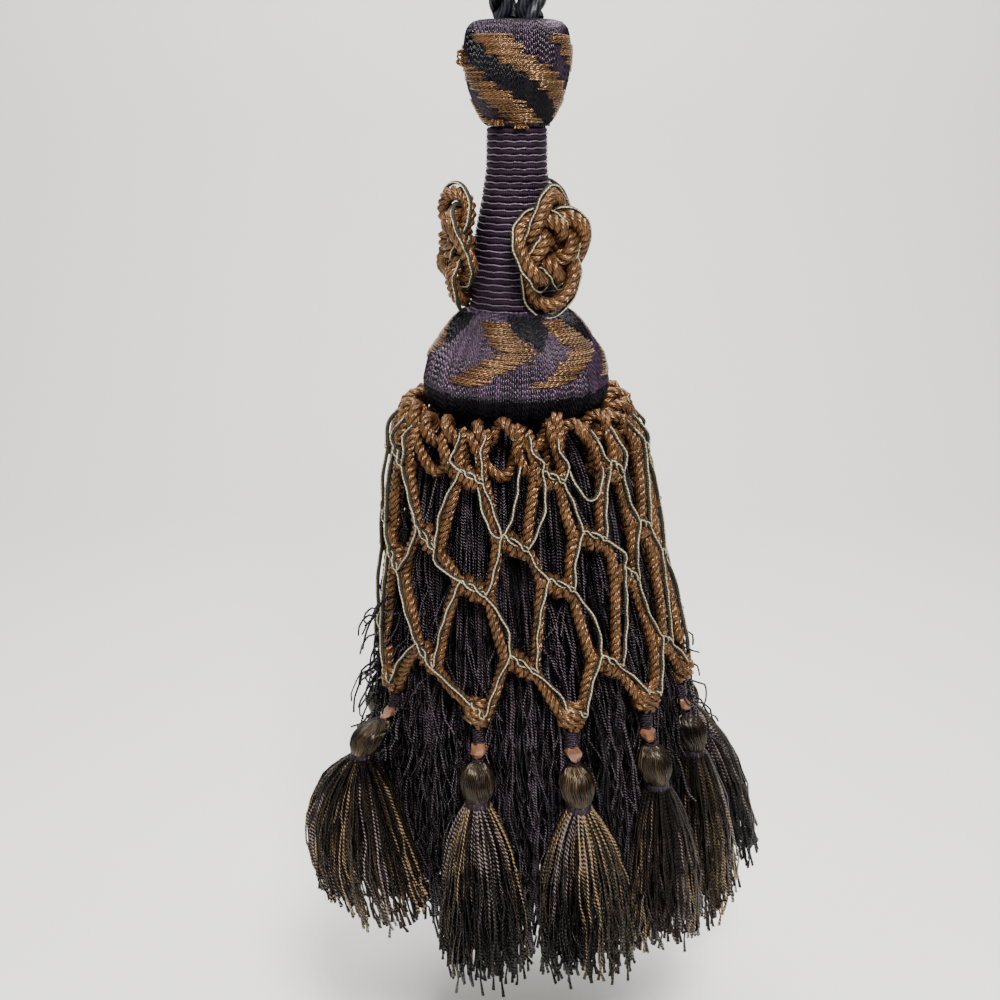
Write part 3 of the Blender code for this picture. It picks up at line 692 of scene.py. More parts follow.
# How far the floss's middle lies inside its outline, the length of its steps, and how thin it may get.
FLOSS_INSET, FLOSS_STEP, LEAST_GIRTH = 0.35, 1.6, 0.35
STITCH_APART, STITCH_LIFT, STITCH_TUCK = 0.5, 0.5, 0.55  # the ends of a stitch are tucked in
STITCH_R, PATCH_R, TUFT_R = 0.33, 0.36, 0.3
CUP_STEP, BUN_STEP = 2.5, 1.2  # drop between two sideways steps of a band
CUP_BAND_TOP, CUP_BAND_SLOPE = 4.2, 6.0  # the slope is in degrees for each millimetre down
# (drop, shift in degrees) and (drop, half length of a stitch in millimetres) of the cup's and bun's bands.
CUP_SHIFT = ((4.2, 0.0), (28.2, 144.0))
CUP_REACH = ((4.2, 5.7), (28.2, 5.7))
FRONT_REACH = ((4.2, 7.2), (6.0, 7.2), (6.0, 5.7), (28.2, 5.7))
BUN_SHIFT = ((2.2, -20.88), (9.4, 0.0), (19.6, -41.82))
BUN_REACH = ((2.2, 4.4), (9.4, 6.6), (9.4, 6.8), (19.6, 5.2))
CUP_BANDS = ((-31.0, FRONT_REACH), (57.0, CUP_REACH), (147.0, CUP_REACH), (-121.0, CUP_REACH))
BUN_BANDS = tuple((1.0 + 56.0 * k, BUN_REACH) for k in range(6))

PATCH_STEP = 0.42  # from one thread of a black patch to the next
# (azimuths, first and last degrees along, radius on which the threads are spaced) of the black patches.
CUP_PATCHES = ((-31.0, 147.0), -38.0, 124.0, 15.0)
BUN_PATCHES = (tuple(56.0 * k for k in range(6)), -9.0, 29.0, 20.0)
PATCH_LIFT, PATCH_TUCK, PATCH_LEAN, LEAST_PATCH = 0.22, 0.4, 1.5, 1.0
# (degrees along, last drop) of the black patch between two chevrons: it narrows to the first one's tip.
BUN_PATCH = ((-9.0, 2.712), (17.0, 10.2), (29.0, 2.76))

TUFTS = ((-34.0, 27.2), (6.0, 28.0), (132.0, 27.6), (215.0, 27.2))  # (azimuth, drop) under the cup
TUFT_THREADS, LOOSE_LOOPS = 16, 9
LOOSE_AZIMUTH, LOOSE_R, LOOSE_DROP = -84.0, 15.0, 9.0

NECK_RINGS, NECK_STEPS, NECK_RIPPLES = 27, 72, (13, 29)  # points and ripples are for one ring
# (distance down in rings, inset, size of its ripple) of a ring of gimp and of the lilac thread below it.
NECK_LAYERS = ((0.5, 0.85, 0.05), (1.0, 0.02, 0.12))
NECK_INSET, NECK_RING_R, NECK_LINE_R = 1.0, 0.93, 0.2


def wound(name, outline, top, inner, count, thread, wander, seed, surface):
    """Threads wound over a turned body, from `inner` on its top face down to its foot."""
    rows = [(outline[0][0] - 0.3, inner), *[(drop, radius - FLOSS_INSET) for drop, radius in outline]]
    line = smooth([Vector((radius * MM, 0.0, -(top + drop) * MM)) for drop, radius in rows], FLOSS_STEP * MM)
    widest = max(radius for _, radius in outline)
    guides = Guides()
    guides.add(line)
    guides.girth = [max(LEAST_GIRTH, point.x / (widest * MM)) for point in line]
    return run_tree(guides.object(name), TREES["wound"], Count=count, Thread_Radius=thread * MM,
                    Wander=wander * MM, Seed=seed, Sides=4, Material=MATERIALS[surface])


def stitch(guides, outline, top, azimuth, reach, drop, slant, rng):
    """One satin stitch lying nearly level over a turned body."""
    points = []
    for share in shares(6):
        side = 2.0 * share - 1.0
        rise = STITCH_LIFT - STITCH_TUCK * abs(side) ** 6
        points.append(on_body(outline, top, azimuth + reach * side, drop + slant * side, rise))
    guides.add(points, girth=rng.uniform(0.85, 1.2), tone=rng.random())


def bands(outline, top, rows, each, shift, seed):
    """Bands of stitches that shift sideways at each step; `rows` are (azimuth, reach of the stitches)."""
    rng = random.Random(seed)
    guides = Guides()
    first, last = shift[0][0], shift[-1][0]
    for azimuth, reach in rows:
        drop = first
        while drop < last:
            step = first + math.floor((drop - first) / each) * each
            middle = azimuth + read(shift, step) + rng.uniform(-1.6, 1.6)
            half = math.degrees(read(reach, step) / read(outline, drop)) * rng.uniform(0.86, 1.08)
            stitch(guides, outline, top, middle, half, drop, rng.uniform(-0.1, 0.4), rng)
            drop += STITCH_APART
    return guides


def cup_tufts():
    """Thread ends that stand out under the cup, and a loose loop of stitches at its left."""
    rng = random.Random(15)
    guides = Guides()
    for azimuth, drop in TUFTS:
        for _ in range(TUFT_THREADS):
            outwards, sideways = around(azimuth + rng.uniform(-9.0, 9.0))
            foot = outwards * read(CUP_OUTLINE, drop) + DOWN * (CUP_TOP + drop)
            tip = outwards * rng.uniform(0.8, 2.0) + sideways * rng.uniform(-1.2, 1.2) + DOWN * 1.6
            points = (foot, foot + tip * 0.6 + outwards * 0.3, foot + tip)
            guides.add([point * MM for point in points], tone=rng.random())
    for _ in range(LOOSE_LOOPS):
        outwards, sideways = around(LOOSE_AZIMUTH + rng.uniform(-5.0, 5.0))
        foot = outwards * LOOSE_R + DOWN * (CUP_TOP + LOOSE_DROP + rng.uniform(-1.5, 1.5))
        reach, low = rng.uniform(1.4, 2.9), rng.uniform(1.5, 3.0)
        points = [(foot + outwards * (reach * math.sin(math.pi * share)) + DOWN * (low * share)
                   + sideways * rng.uniform(-0.3, 0.3)) * MM for share in shares(6)]
        guides.add(points, tone=rng.random())
    return guides


def patches(outline, top, azimuths, first, last, radius, ends, seed):
    """Black threads side by side from `first` to `last` degrees; ends(along) gives a thread's two drops."""
    rng = random.Random(seed)
    guides = Guides()
    for azimuth in azimuths:
        along = first
        while along < last:
            patch_thread(guides, outline, top, azimuth + along, *ends(along), rng)
            along += math.degrees(PATCH_STEP / radius)
    return guides


def patch_thread(guides, outline, top, azimuth, start, end, rng):
    """One upright thread of black floss laid over a turned body."""
    start += rng.uniform(-0.6, 0.6)
    end += rng.uniform(-0.8, 0.8)
    if end - start < LEAST_PATCH:
        return
    points = []
    for share in shares(5):
        at = start + (end - start) * share
        rise = PATCH_LIFT - PATCH_TUCK * abs(2.0 * share - 1.0) ** 4
        points.append(on_body(outline, top, azimuth + PATCH_LEAN * share, at, rise))
    guides.add(points, girth=rng.uniform(0.85, 1.15), tone=rng.random())


def between_bands(along):
    """The drops where a black thread starts and ends between two of the cup's bands."""
    return (max(1.6, CUP_BAND_TOP + (along + 22.0) / CUP_BAND_SLOPE - 0.4),
            min(28.4, CUP_BAND_TOP + (along + 68.0) / CUP_BAND_SLOPE + 0.4))


class TASSEL_OT_head(bpy.types.Operator):
    """Winds the cup, the neck and the bun with floss and gimp, and stitches their bronze bands"""
    bl_idname = "tassel.head"
    bl_label = "Head"

    def execute(self, context):
        stitches = bands(CUP_OUTLINE, CUP_TOP, CUP_BANDS, CUP_STEP, CUP_SHIFT, 3)
        black = patches(CUP_OUTLINE, CUP_TOP, *CUP_PATCHES, between_bands, 12)
        self.body("cup", CUP_OUTLINE, CUP_TOP, CUP_FLOSS, stitches, black, cup_tufts())
        stitches = bands(BUN_OUTLINE, BUN_TOP, BUN_BANDS, BUN_STEP, BUN_SHIFT, 8)
        black = patches(BUN_OUTLINE, BUN_TOP, *BUN_PATCHES, lambda along: (0.9, read(BUN_PATCH, along)), 13)
        self.body("bun", BUN_OUTLINE, BUN_TOP, BUN_FLOSS, stitches, black)
        self.neck()
        return {"FINISHED"}

    def body(self, node, outline, top, windings, stitches, black, tufts=None):
        """A turned body wound with floss, and the threads that lie on it."""
        floss = [wound(f"{node}_{label}", rows, top, *values) for label, rows, *values in windings]
        core = turned(node + "_core", outline, top, CORE_INSET)
        dress(join(node + "_floss", [core, *floss]), "floss", node)
        laid = [lay_thread(node + "_stitches", stitches, "stitch", STITCH_R, 5),
                lay_thread(node + "_patches", black, "black_floss", PATCH_R, 4)]
        if tufts:
            laid.append(lay_thread(node + "_tufts", tufts, "stitch", TUFT_R, 4))
        dress(join(node + "_bands", laid), "floss")

    def neck(self):
        """Rings of purple gimp with a lilac thread between each two; the ends of a ring meet at the back."""
        rng = random.Random(6)
        rings, lines = Guides(), Guides()
        for i in range(NECK_RINGS):
            for guides, (down, inset, wave) in zip((rings, lines), NECK_LAYERS):
                at = (i + down) * NECK_TALL / NECK_RINGS
                radius = read(NECK_OUTLINE, at) - inset
                beat = rng.uniform(0.0, math.tau)
                points = []
                for share in shares(NECK_STEPS)[:-1]:
                    turn = math.pi + math.tau * share
                    ripple = wave * (math.sin(NECK_RIPPLES[0] * turn + beat)
                                     + 0.5 * math.sin(NECK_RIPPLES[1] * turn - beat))
                    points.append(upright(turn, radius, NECK_TOP + at + ripple) * MM)
                guides.add(points, closed=True, tone=rng.random())
        dress(join("neck_gimp", [turned("neck_core", NECK_OUTLINE, NECK_TOP, NECK_INSET),
                                 lay_thread("neck_rings", rings, "gimp", NECK_RING_R, 6),
                                 lay_thread("neck_lines", lines, "lilac", NECK_LINE_R, 4)]), "gimp", "neck")


# Rosettes

ROSETTES = (("rosette_0", -78.0), ("rosette_1", 33.0), ("rosette_2", 155.0))  # (node, azimuth)
ROSETTE_DROP, ROSETTE_OUT, ROSETTE_STEPS = 133.0, 18.4, 230
# The knot's mean radius and how far it swings in and out, the cord's rise and fall, and height over width.
KNOT_R, KNOT_SWING, KNOT_LIFT, KNOT_TALL = 7.4, 3.4, 2.8, 1.25
# The distance up or down where the knot's ends start, how much further they reach up and down, and how far
# the lower one is drawn in.
FOLD_FROM, FOLD_ABOVE, FOLD_BELOW, FOLD_IN = 9.0, 0.3, 0.75, 0.35
KNOT_LAY, KNOT_PLY, EDGE_OUT, EDGE_TURN = 1.36, 1.04, 2.35, 0.02
COIL_R, COIL_TURNS, COIL_BACK, COIL_TALL, COIL_STEPS = (1.4, 6.6), 1.6, 2.0, 1.4, 44


def rosette_plane(angle):
    """Where the knot's cord passes in the knot's own plane: (across, up)."""
    reach = KNOT_R + KNOT_SWING * math.cos(4 * angle / 3)
    return reach * math.cos(angle), KNOT_TALL * reach * math.sin(angle)


def on_rosette(azimuth, out, across, up):
    """A point of a rosette, by its distance from the axis and its place in the knot's plane."""
    outwards, sideways = around(azimuth)
    return (outwards * out + sideways * across + DOWN * (ROSETTE_DROP - up)) * MM


def rosette_point(angle, azimuth, edge=0.0):
    """A point of the knot's cord; `edge` steps outwards in its plane, for the edging."""
    across, up = rosette_plane(angle)
    if edge:
        ahead, back = rosette_plane(angle + EDGE_TURN), rosette_plane(angle - EDGE_TURN)
        normal = Vector((ahead[1] - back[1], back[0] - ahead[0])).normalized()
        across += normal.x * edge
        up += normal.y * edge
    below, above = max(0.0, -up - FOLD_FROM), max(0.0, up - FOLD_FROM)
    lift = KNOT_LIFT * math.sin(8 * angle / 3) - FOLD_IN * below
    return on_rosette(azimuth, ROSETTE_OUT + lift, across, up + FOLD_ABOVE * above - FOLD_BELOW * below)


def rosette_coil(azimuth):
    """A flat coil of the same cord behind the knot, which fills its middle."""
    points = []
    for share in shares(COIL_STEPS):
        angle = math.tau * COIL_TURNS * share
        reach = COIL_R[0] + (COIL_R[1] - COIL_R[0]) * share
        points.append(on_rosette(azimuth, ROSETTE_OUT - COIL_BACK, reach * math.cos(angle),
                                 COIL_TALL * reach * math.sin(angle)))
    return points


class TASSEL_OT_rosettes(bpy.types.Operator):
    """Ties the three rosette knots of twisted cord with their gimp edging"""
    bl_idname = "tassel.rosettes"
    bl_label = "Rosettes"

    def execute(self, context):
        turns = [3 * math.tau * share for share in shares(ROSETTE_STEPS)[:-1]]
        for node, azimuth in ROSETTES:
            cord = Guides(CORD_PITCH * MM)
            cord.add([rosette_point(a, azimuth) for a in turns], closed=True)
            cord.add(rosette_coil(azimuth))
            edge = [rosette_point(a, azimuth, EDGE_OUT) for a in turns]
            made = join(node + "_cord", [lay_cord(node + "_plies", cord, "bronze", KNOT_LAY, KNOT_PLY),
                                         *lay_gimp(node + "_edging", [edge], True)])
            dress(made, "bronze", node)
        return {"FINISHED"}


# Net

NET_LAY, NET_PLY = 1.17, 0.87
# The ruff's two coils: (turns, radius of the ring, drop, radius of a turn, height over width, unevenness).
RUFFS = ((22, 32.3, 185.4, 4.0, 1.0, 1.2), (19, 34.1, 190.4, 2.2, 3.6, 3.0))
RUFF_STEPS = 8  # points in each turn
# How a strand lies: (radius and turns of its winding in a knot, slack between knots, how far out,
# share of the knot's length, shift sideways and down along the net, seed).
CORD_LAY = (1.95, 1.5, 1.2, 0.2, 0.9, (0.0, 0.0), 10)
GIMP_LAY = (0.75, 1.0, 3.0, 3.0, 0.8, (1.2, -1.6), 70)
STRAND_END = 4.6  # how far a strand runs on below its last knot
HANGING_FROM = 187.0  # drop where a loose loop of gimp starts and ends
BALL_TURNS, BALL_STEPS, BALL_R, BALL_HALF, BALL_CURVE = 3.2, 39, 2.9, 3.1, 4.6


def column(number):
    """The azimuth of a net column; half numbers lie midway between two columns."""
    low = math.floor(number)
    count = len(SMALL_TASSELS)
    values = [SMALL_TASSELS[(low + step) % count][0] + 360.0 * ((low + step) // count) for step in (0, 1)]
    return values[0] + (values[1] - values[0]) * (number - low)


def on_net(azimuth, drop, out=0.0):
    """The point on the net's surface at an azimuth and a drop, or `out` from it."""
    return place(azimuth, read(NET_SPREAD, drop) + out, drop)


def beside(azimuth, drop, sideways, down):
    """The (azimuth, drop) this far along the net's surface, in millimetres."""
    return azimuth + math.degrees(sideways / read(NET_SPREAD, drop)), drop + down


def knot_at(number, row):
    """A net knot of a column or of the gap to its right: (azimuth, drop, half length, slant)."""
    drop, between, length = NET_ROWS[row]
    rng = random.Random(100 * (number % len(SMALL_TASSELS)) + row - 1)
    lower = rng.uniform(-1.5, 1.5) if row + 1 < len(NET_ROWS) else 0.0
    slant = math.radians(rng.uniform(20.0, 45.0))
    return column(number + (0.5 if between else 0.0)), drop + lower, length, slant


def twist_in(knot, falling, coil, turns, out, scale, shift):
    """The points of one of two strands that wind about each other along a knot."""
    azimuth, drop, length, slant = knot
    azimuth, drop = beside(azimuth, drop, *shift)
    outwards, sideways = around(azimuth)
    axis = sideways * math.cos(slant) + DOWN * math.sin(slant)
    across = axis.cross(outwards)
    middle = on_net(azimuth, drop, out)
    points = []
    for share in shares(12):
        angle = math.tau * turns * share + (0.0 if falling else math.pi) + math.pi / 2
        radius = coil * min(1.0, 4.0 * share + 0.35, 4.0 * (1.0 - share) + 0.35)
        points.append(middle + (axis * (2.0 * share - 1.0) * length * scale
                                + (across * math.sin(angle) + outwards * math.cos(angle)) * radius) * MM)
    return points if falling else points[::-1]


def net_strand(number, falling, lay):
    """One strand of the net, from the ruff down to its last knot."""
    coil, turns, slack, out, scale, shift, seed = lay
    rng = random.Random(seed + 50 * number + falling)
    side = 1.0 if falling else -1.0
    points = [on_net(*beside(column(number), NET_ROOT - 4.0, -side * 4.0, 0.0), out - 2.5),
              on_net(*beside(column(number), NET_ROOT, -side * 3.6, 0.0), out + 0.5)]
    for row in range(len(NET_ROWS)):
        knot = knot_at(number + row // 2 if falling else number - (row + 1) // 2, row)
        strand = twist_in(knot, falling, coil, turns, out, scale, shift)
        outwards, sideways = around(knot[0] - side * 6.0)
        bow = rng.uniform(-slack, slack)
        middle = (points[-1] + strand[0]) / 2
        points += [middle + (sideways * bow + outwards * (0.5 + 0.15 * abs(bow))) * MM, *strand]
    return points


class TASSEL_OT_net(bpy.types.Operator):
    """Lays the looped ruff, the net of twisted cord and the gimp that follows it"""
    bl_idname = "tassel.net"
    bl_label = "Net"

    def execute(self, context):
        cords, edging = Guides(CORD_PITCH * MM), []
        rng = random.Random(14)
        for row in RUFFS:
            cords.add(self.ruff(rng, *row), closed=True)
        for number in range(len(SMALL_TASSELS)):
            for falling in (True, False):
                end = on_net(column(number + (2 if falling else -2)), NET_ROWS[-1][0] + STRAND_END)
                cords.add(smooth([*net_strand(number, falling, CORD_LAY), end], CORD_STEP * MM))
                edging.append(smooth(net_strand(number, falling, GIMP_LAY), GIMP_STEP * MM))
            if number % 2:
                edging.append(self.hanging_loop(column(number) + rng.uniform(-16.0, 16.0), rng))
            cords.add(self.bottom_knot(column(number)))
        dress(lay_cord("net_cord", cords, "bronze", NET_LAY, NET_PLY, 5), "bronze", "net")
        dress(join("net_edging", lay_gimp("net_gimp", edging)), "bronze")
        return {"FINISHED"}

    def ruff(self, rng, turns, middle, drop, turn_radius, taller, uneven):
        """A closed coil of uneven turns round the top of the net."""
        loops = []
        for i in range(turns):
            size = turn_radius * rng.uniform(0.75, 1.2)
            high = size * taller * rng.uniform(0.75, 1.25)
            lower = rng.uniform(-uneven, uneven)
            lean = rng.uniform(-9.0, 9.0)
            for share in shares(RUFF_STEPS)[:-1]:
                coil = math.tau * share
                azimuth = 360.0 * (i + share) / turns + lean * math.sin(coil / 2)
                loops.append(place(azimuth, middle + size * math.cos(coil),
                                   drop + lower * math.sin(coil / 2) + high * math.sin(coil)))
        return smooth(loops, CORD_STEP * MM, closed=True)

    def hanging_loop(self, start, rng):
        """A loose loop of gimp that shows over the ruff."""
        points = []
        width, low = rng.uniform(7.0, 12.0), rng.uniform(199.0, 214.0)
        for share in shares(6):
            side = 2.0 * share - 1.0
            drop = low - (low - HANGING_FROM) * side * side
            points.append(on_net(start + width * side, drop, 3.2 - 4.5 * abs(side) ** 5))
        return smooth(points, GIMP_STEP * MM)

    def bottom_knot(self, azimuth):
        """The ball of wrapped cord at a point of the net."""
        outwards, sideways = around(azimuth)
        middle = on_net(azimuth, NET_ROWS[-1][0] + 0.2)
        points = []
        for share in shares(BALL_STEPS):
            angle = math.tau * BALL_TURNS * share
            tilt = (2.0 * share - 1.0) * BALL_HALF
            radius = BALL_R * math.sqrt(1.0 - (tilt / BALL_CURVE) ** 2)
            points.append(middle + ((sideways * math.cos(angle) + outwards * math.sin(angle)) * radius
                                    + DOWN * tilt) * MM)
        return points


# Skirt

SKIRT_DROPS = (187.5, 191.0, 196.0, 203.0, 213.0, 226.0, 242.0, 260.0, 280.0, 300.0, 320.0, 340.0, 356.0)
# (locks, share of the way out, whether it is an outer layer).
SKIRT_LAYERS = ((120, 1.0, True), (50, 0.90, True), (60, 0.78, False), (44, 0.6, False), (26, 0.4, False),
                (10, 0.2, False))
# (drop, how far inside the skirt's spread its locks hang): further in, where the net lies over them.
SKIRT_CLEAR = ((187.0, 1.0), (205.0, 2.4), (262.0, 2.4), (278.0, 1.0))
# (azimuth, drop, half width in degrees, half height, how far out) of the places where it stands out.
SKIRT_BULGES = ((-86.0, 264.0, 24.0, 26.0, 6.5), (94.0, 312.0, 26.0, 32.0, 6.5))
# (name, radius of a thread, points along it, seed, nodes) of the outer and the inner locks.
SKIRT_FRINGES = (("skirt_outer", 0.35, 21, 5, ("skirt",)), ("skirt_inner", 0.5, 8, 9, ()))
SKIRT_WANDER, SKIRT_RIPPLE, SKIRT_UNEVEN = 24.0, 62.0, 0.14
SKIRT_HEAD = ((0.0, 15.0), (2.4, 20.0), (6.0, 23.4), (9.5, 23.8), (11.0, 20.0))  # (drop, radius)
FRIZZ, CROSSING, FRIZZ_R = 640, 260, 0.34  # curly strays, threads that cross the others, their radius
FRIZZ_AT = (-84.0, -78.0, -96.0, -86.0, 84.0, 96.0)  # azimuths about which the strays stand out
LOWEST = 345.0


class TASSEL_OT_skirt(bpy.types.Operator):
    """Hangs the skirt of dark threads, with its loose and frizzy ends"""
    bl_idname = "tassel.skirt"
    bl_label = "Skirt"

    def execute(self, context):
        rng = random.Random(31)
        outer, inner = Guides(), Guides()
        for count, share, outside in SKIRT_LAYERS:
            guides = outer if outside else inner
            for i in range(count):
                points = self.lock(360.0 * (i + rng.uniform(-0.3, 0.3)) / count, share, rng)
                guides.add(points, girth=lambda s: (0.7 + 3.2 * s) * MM, tone=rng.random())
        threads = context.scene.tassel_sizes.skirt_threads
        for guides, (name, thread, points, seed, nodes) in zip((outer, inner), SKIRT_FRINGES):
            made = lay_fringe(name, guides, "skirt", thread, Threads=threads, Wander=SKIRT_WANDER * MM,
                              Ripple=SKIRT_RIPPLE, Uneven=SKIRT_UNEVEN, Seed=seed, Points=points)
            dress(made, "thread", *nodes)
        dress(turned("skirt_head", SKIRT_HEAD, SKIRT_TOP, 0.2), "thread")
        guides = Guides()
        for _ in range(FRIZZ):
            self.stray(guides, rng)
        for _ in range(CROSSING):
            self.crossing(guides, rng)
        dress(lay_thread("skirt_frizz", guides, "skirt", FRIZZ_R, 4), "thread")
        return {"FINISHED"}

    def lock(self, azimuth, share, rng):
        """The middle line of one lock, which hangs from the head to its own length."""
        sway = rng.uniform(-7.0, 7.0)
        shorter = rng.uniform(0.0, 14.0)
        points = []
        for drop in SKIRT_DROPS:
            along = (drop - SKIRT_DROPS[0]) / (SKIRT_DROPS[-1] - SKIRT_DROPS[0])
            lower = drop - shorter * along
            radius = read(SKIRT_SPREAD, lower) - read(SKIRT_CLEAR, lower) + self.bulge(azimuth, lower)
            points.append(place(azimuth + sway * along, share * radius, lower))
        return points

    def bulge(self, azimuth, drop):
        """How far the skirt stands out beyond its spread, at its left and lower down at its right."""
        out = 0.0
        for middle, at, wide, tall, most in SKIRT_BULGES:
            turn = (azimuth - middle + 180.0) % 360.0 - 180.0
            out += most * math.exp(-(turn / wide) ** 2 - ((drop - at) / tall) ** 2)
        return out

    def stray(self, guides, rng):
        """One curly stray at a side of the skirt."""
        azimuth = rng.choice(FRIZZ_AT) + rng.uniform(-24.0, 24.0)
        drop = rng.uniform(236.0, 322.0)
        outwards, sideways = around(azimuth)
        point = place(azimuth, read(SKIRT_SPREAD, drop) - 2.0, drop)
        heading = outwards * rng.uniform(0.7, 1.3) + sideways * rng.uniform(-0.6, 0.6)
        heading.z = rng.uniform(-1.0, 0.3)
        points = [point]
        for _ in range(rng.randint(4, 9)):
            heading = (heading + Vector([rng.uniform(-0.8, 0.8) for _ in range(3)])).normalized()
            heading.z -= 0.4
            point = point + heading * rng.uniform(2.0, 3.6) * MM
            points.append(point)
        guides.add(smooth(points, 2.2 * MM), tone=rng.random())

    def crossing(self, guides, rng):
        """One thread that crosses the others on the skirt's outside."""
        azimuth, drop = rng.uniform(0.0, 360.0), rng.uniform(200.0, 305.0)
        drift, fall = rng.uniform(-17.0, 17.0), rng.uniform(14.0, 44.0)
        points = []
        for share in shares(6):
            at = min(drop + fall * share, LOWEST)
            out = 0.2 + 1.2 * math.sin(math.pi * share) - 1.2 * abs(2.0 * share - 1.0) ** 4
            turn = azimuth + drift * share + rng.uniform(-0.8, 0.8)
            points.append(place(turn, read(SKIRT_SPREAD, at) + out, at))
        guides.add(smooth(points, 3.0 * MM), girth=0.8, tone=rng.uniform(0.6, 1.25))


# Small tassels

SMALL_TOP = 272.7
SMALL_ROOT = 24.4  # distance down a small tassel where its threads start
# Points of a small tassel's middle line: (share of the turn, share of the way out, further out,
# share of the head's standing out, drop below its top).
SMALL_AXIS = ((0.0, 0.0, 0.1, 0.0, 0.0), (0.04, 0.0, 0.1, 0.12, 5.0), (0.15, 0.0, 0.0, 1.0, 16.0),
              (0.5, 0.62, -1.6, 0.76, 42.0))
BINDINGS = ((-0.6, 4.4, 1.75, 7), (9.4, 11.2, 1.7, 3), (22.5, 24.5, 3.6, 4))  # (start, end, radius, turns)
HEAD_THREADS, HEAD_R, BINDING_R = 46, 0.42, 0.34
# (distance down, radius) of the ball head and of the bead.
HEAD_OUTLINE = ((10.4, 1.4), (11.4, 3.2), (13.0, 4.5), (16.4, 5.4), (19.6, 4.9), (22.4, 3.6))
BEAD_OUTLINE = ((4.4, 1.2), (5.2, 2.0), (6.4, 2.5), (7.8, 2.3), (8.9, 1.7), (9.4, 1.2))
BEAD_SIDES = 6
# (share of the way down, share of the spread) of a small tassel's locks.
FAN = ((0.0, 0.0), (0.1, 0.34), (0.25, 0.68), (0.45, 0.9), (0.7, 1.0), (1.0, 0.97))
# (locks, whether a wider tassel has more, distance from the middle line at the root, share of the spread).
FAN_LAYERS = ((32, True, 3.2, 1.0), (14, True, 2.2, 0.62), (6, False, 1.0, 0.25))
USUAL_SPREAD = 21.0  # of the tassel that has these numbers of locks, sideways and outwards together
GOLDEN_ENDS = (0, 3, 4, 6, 9)  # the small tassels whose locks grow lighter towards their ends
SMALL_THREAD, SMALL_WANDER, SMALL_RIPPLE, SMALL_UNEVEN = 0.34, 13.0, 60.0, 0.18


def small_axis(row):
    """The middle line of a small tassel, from its net knot to the ends of its threads."""
    azimuth, end_azimuth, end_drop, end_radius, _, _, head_out, _ = row
    start = read(NET_SPREAD, NET_ROWS[-1][0])
    points = []
    for turn, way, further, lean, down in SMALL_AXIS:
        radius = start + way * (end_radius - start) + further + lean * head_out
        points.append(place(azimuth + turn * (end_azimuth - azimuth), radius, SMALL_TOP + down))
    return [*points, place(end_azimuth, end_radius, end_drop)]


def lock_tone_and_painted_light(base, golden_end):
    """A lock gets painted light below its root and painted shade towards its end; in a tassel with golden
    ends it instead grows lighter in its own colour towards its end.
    """
    if golden_end:
        # The lock's own colour: darker at the root, golden towards the end.
        return lambda share: base - 0.30 + 0.70 * share
    # Painted light just below the root, fading to painted shade lower down.
    return lambda share: base + 0.32 - 0.80 * min(1.0, 1.5 * share) ** 1.3


class TASSEL_OT_small_tassels(bpy.types.Operator):
    """Hangs a small tassel with its binding, bead and ball head from each point of the net"""
    bl_idname = "tassel.small_tassels"
    bl_label = "Small Tassels"

    def execute(self, context):
        for number, row in enumerate(SMALL_TASSELS):
            self.small_tassel(number, row, context.scene.tassel_sizes.small_threads)
        return {"FINISHED"}

    def small_tassel(self, number, row, threads):
        """One small tassel, from its row of the table."""
        rng = random.Random(60 + number)
        node = f"small_tassel_{number:02d}"
        line = smooth(small_axis(row), 2.0 * MM)
        wide, deep, tone = row[4], row[5], row[7]
        outwards, sideways = around(row[1])

        def ring(distance, across, out, angle):
            """The point at this distance down the middle line and this angle about it, in an oval."""
            return along_path(line, distance) + (sideways * across * math.sin(angle)
                                                 + outwards * out * math.cos(angle)) * MM

        binding, head, golden, dusky = Guides(), Guides(), Guides(), Guides()
        for first, last, radius, turns in BINDINGS:
            points = [ring((first + (last - first) * share) * MM, radius, radius, math.tau * turns * share)
                      for share in shares(12 * turns)]
            binding.add(points, tone=rng.random())
        for share in shares(HEAD_THREADS)[:-1]:
            points = [ring(at * MM, radius - 0.3, radius - 0.3, math.tau * share + 0.1 * math.sin(at))
                      for at, radius in HEAD_OUTLINE]
            head.add(smooth(points, 2.0 * MM), tone=0.08 + 0.5 * tone + rng.uniform(-0.25, 0.25))
        root, total = SMALL_ROOT * MM, length_of(line)
        for count, grows, start, share in FAN_LAYERS:
            if grows:
                count = round(count * (wide + deep) / USUAL_SPREAD)
            for i in range(count):
                angle = math.tau * (i + rng.uniform(-0.45, 0.45)) / count
                points = []
                for part in shares(9):
                    across, out = (start + (share * (most - 0.6) - start) * read(FAN, part)
                                   for most in (wide, deep))
                    points.append(ring(root + (total - root) * part, across, out, angle))
                locks = golden if rng.random() < tone else dusky
                locks.add(points, girth=lambda s: (1.0 + 1.6 * s) * MM,
                          tone=lock_tone_and_painted_light(rng.uniform(0.1, 0.75), number in GOLDEN_ENDS))
        bead = [[ring((at + rng.uniform(-0.35, 0.35)) * MM, *[radius * rng.uniform(0.85, 1.15)] * 2,
                      math.tau * (k + rng.uniform(-0.15, 0.15)) / BEAD_SIDES) for k in range(BEAD_SIDES)]
                for at, radius in BEAD_OUTLINE]
        pieces = [lay_thread(node + "_binding", binding, "binding", BINDING_R, 5),
                  lay_thread(node + "_head", head, "ball", HEAD_R, 5),
                  skin(node + "_bead", bead, "bead")]
        for label, locks in (("golden", golden), ("dusky", dusky)):
            pieces.append(lay_fringe(f"{node}_{label}", locks, label, SMALL_THREAD, Threads=threads,
                                     Wander=SMALL_WANDER * MM, Ripple=SMALL_RIPPLE, Uneven=SMALL_UNEVEN,
                                     Seed=100 + number, Points=13))
        dress(join(node + "_threads", pieces), "mixed", node)


# Stage

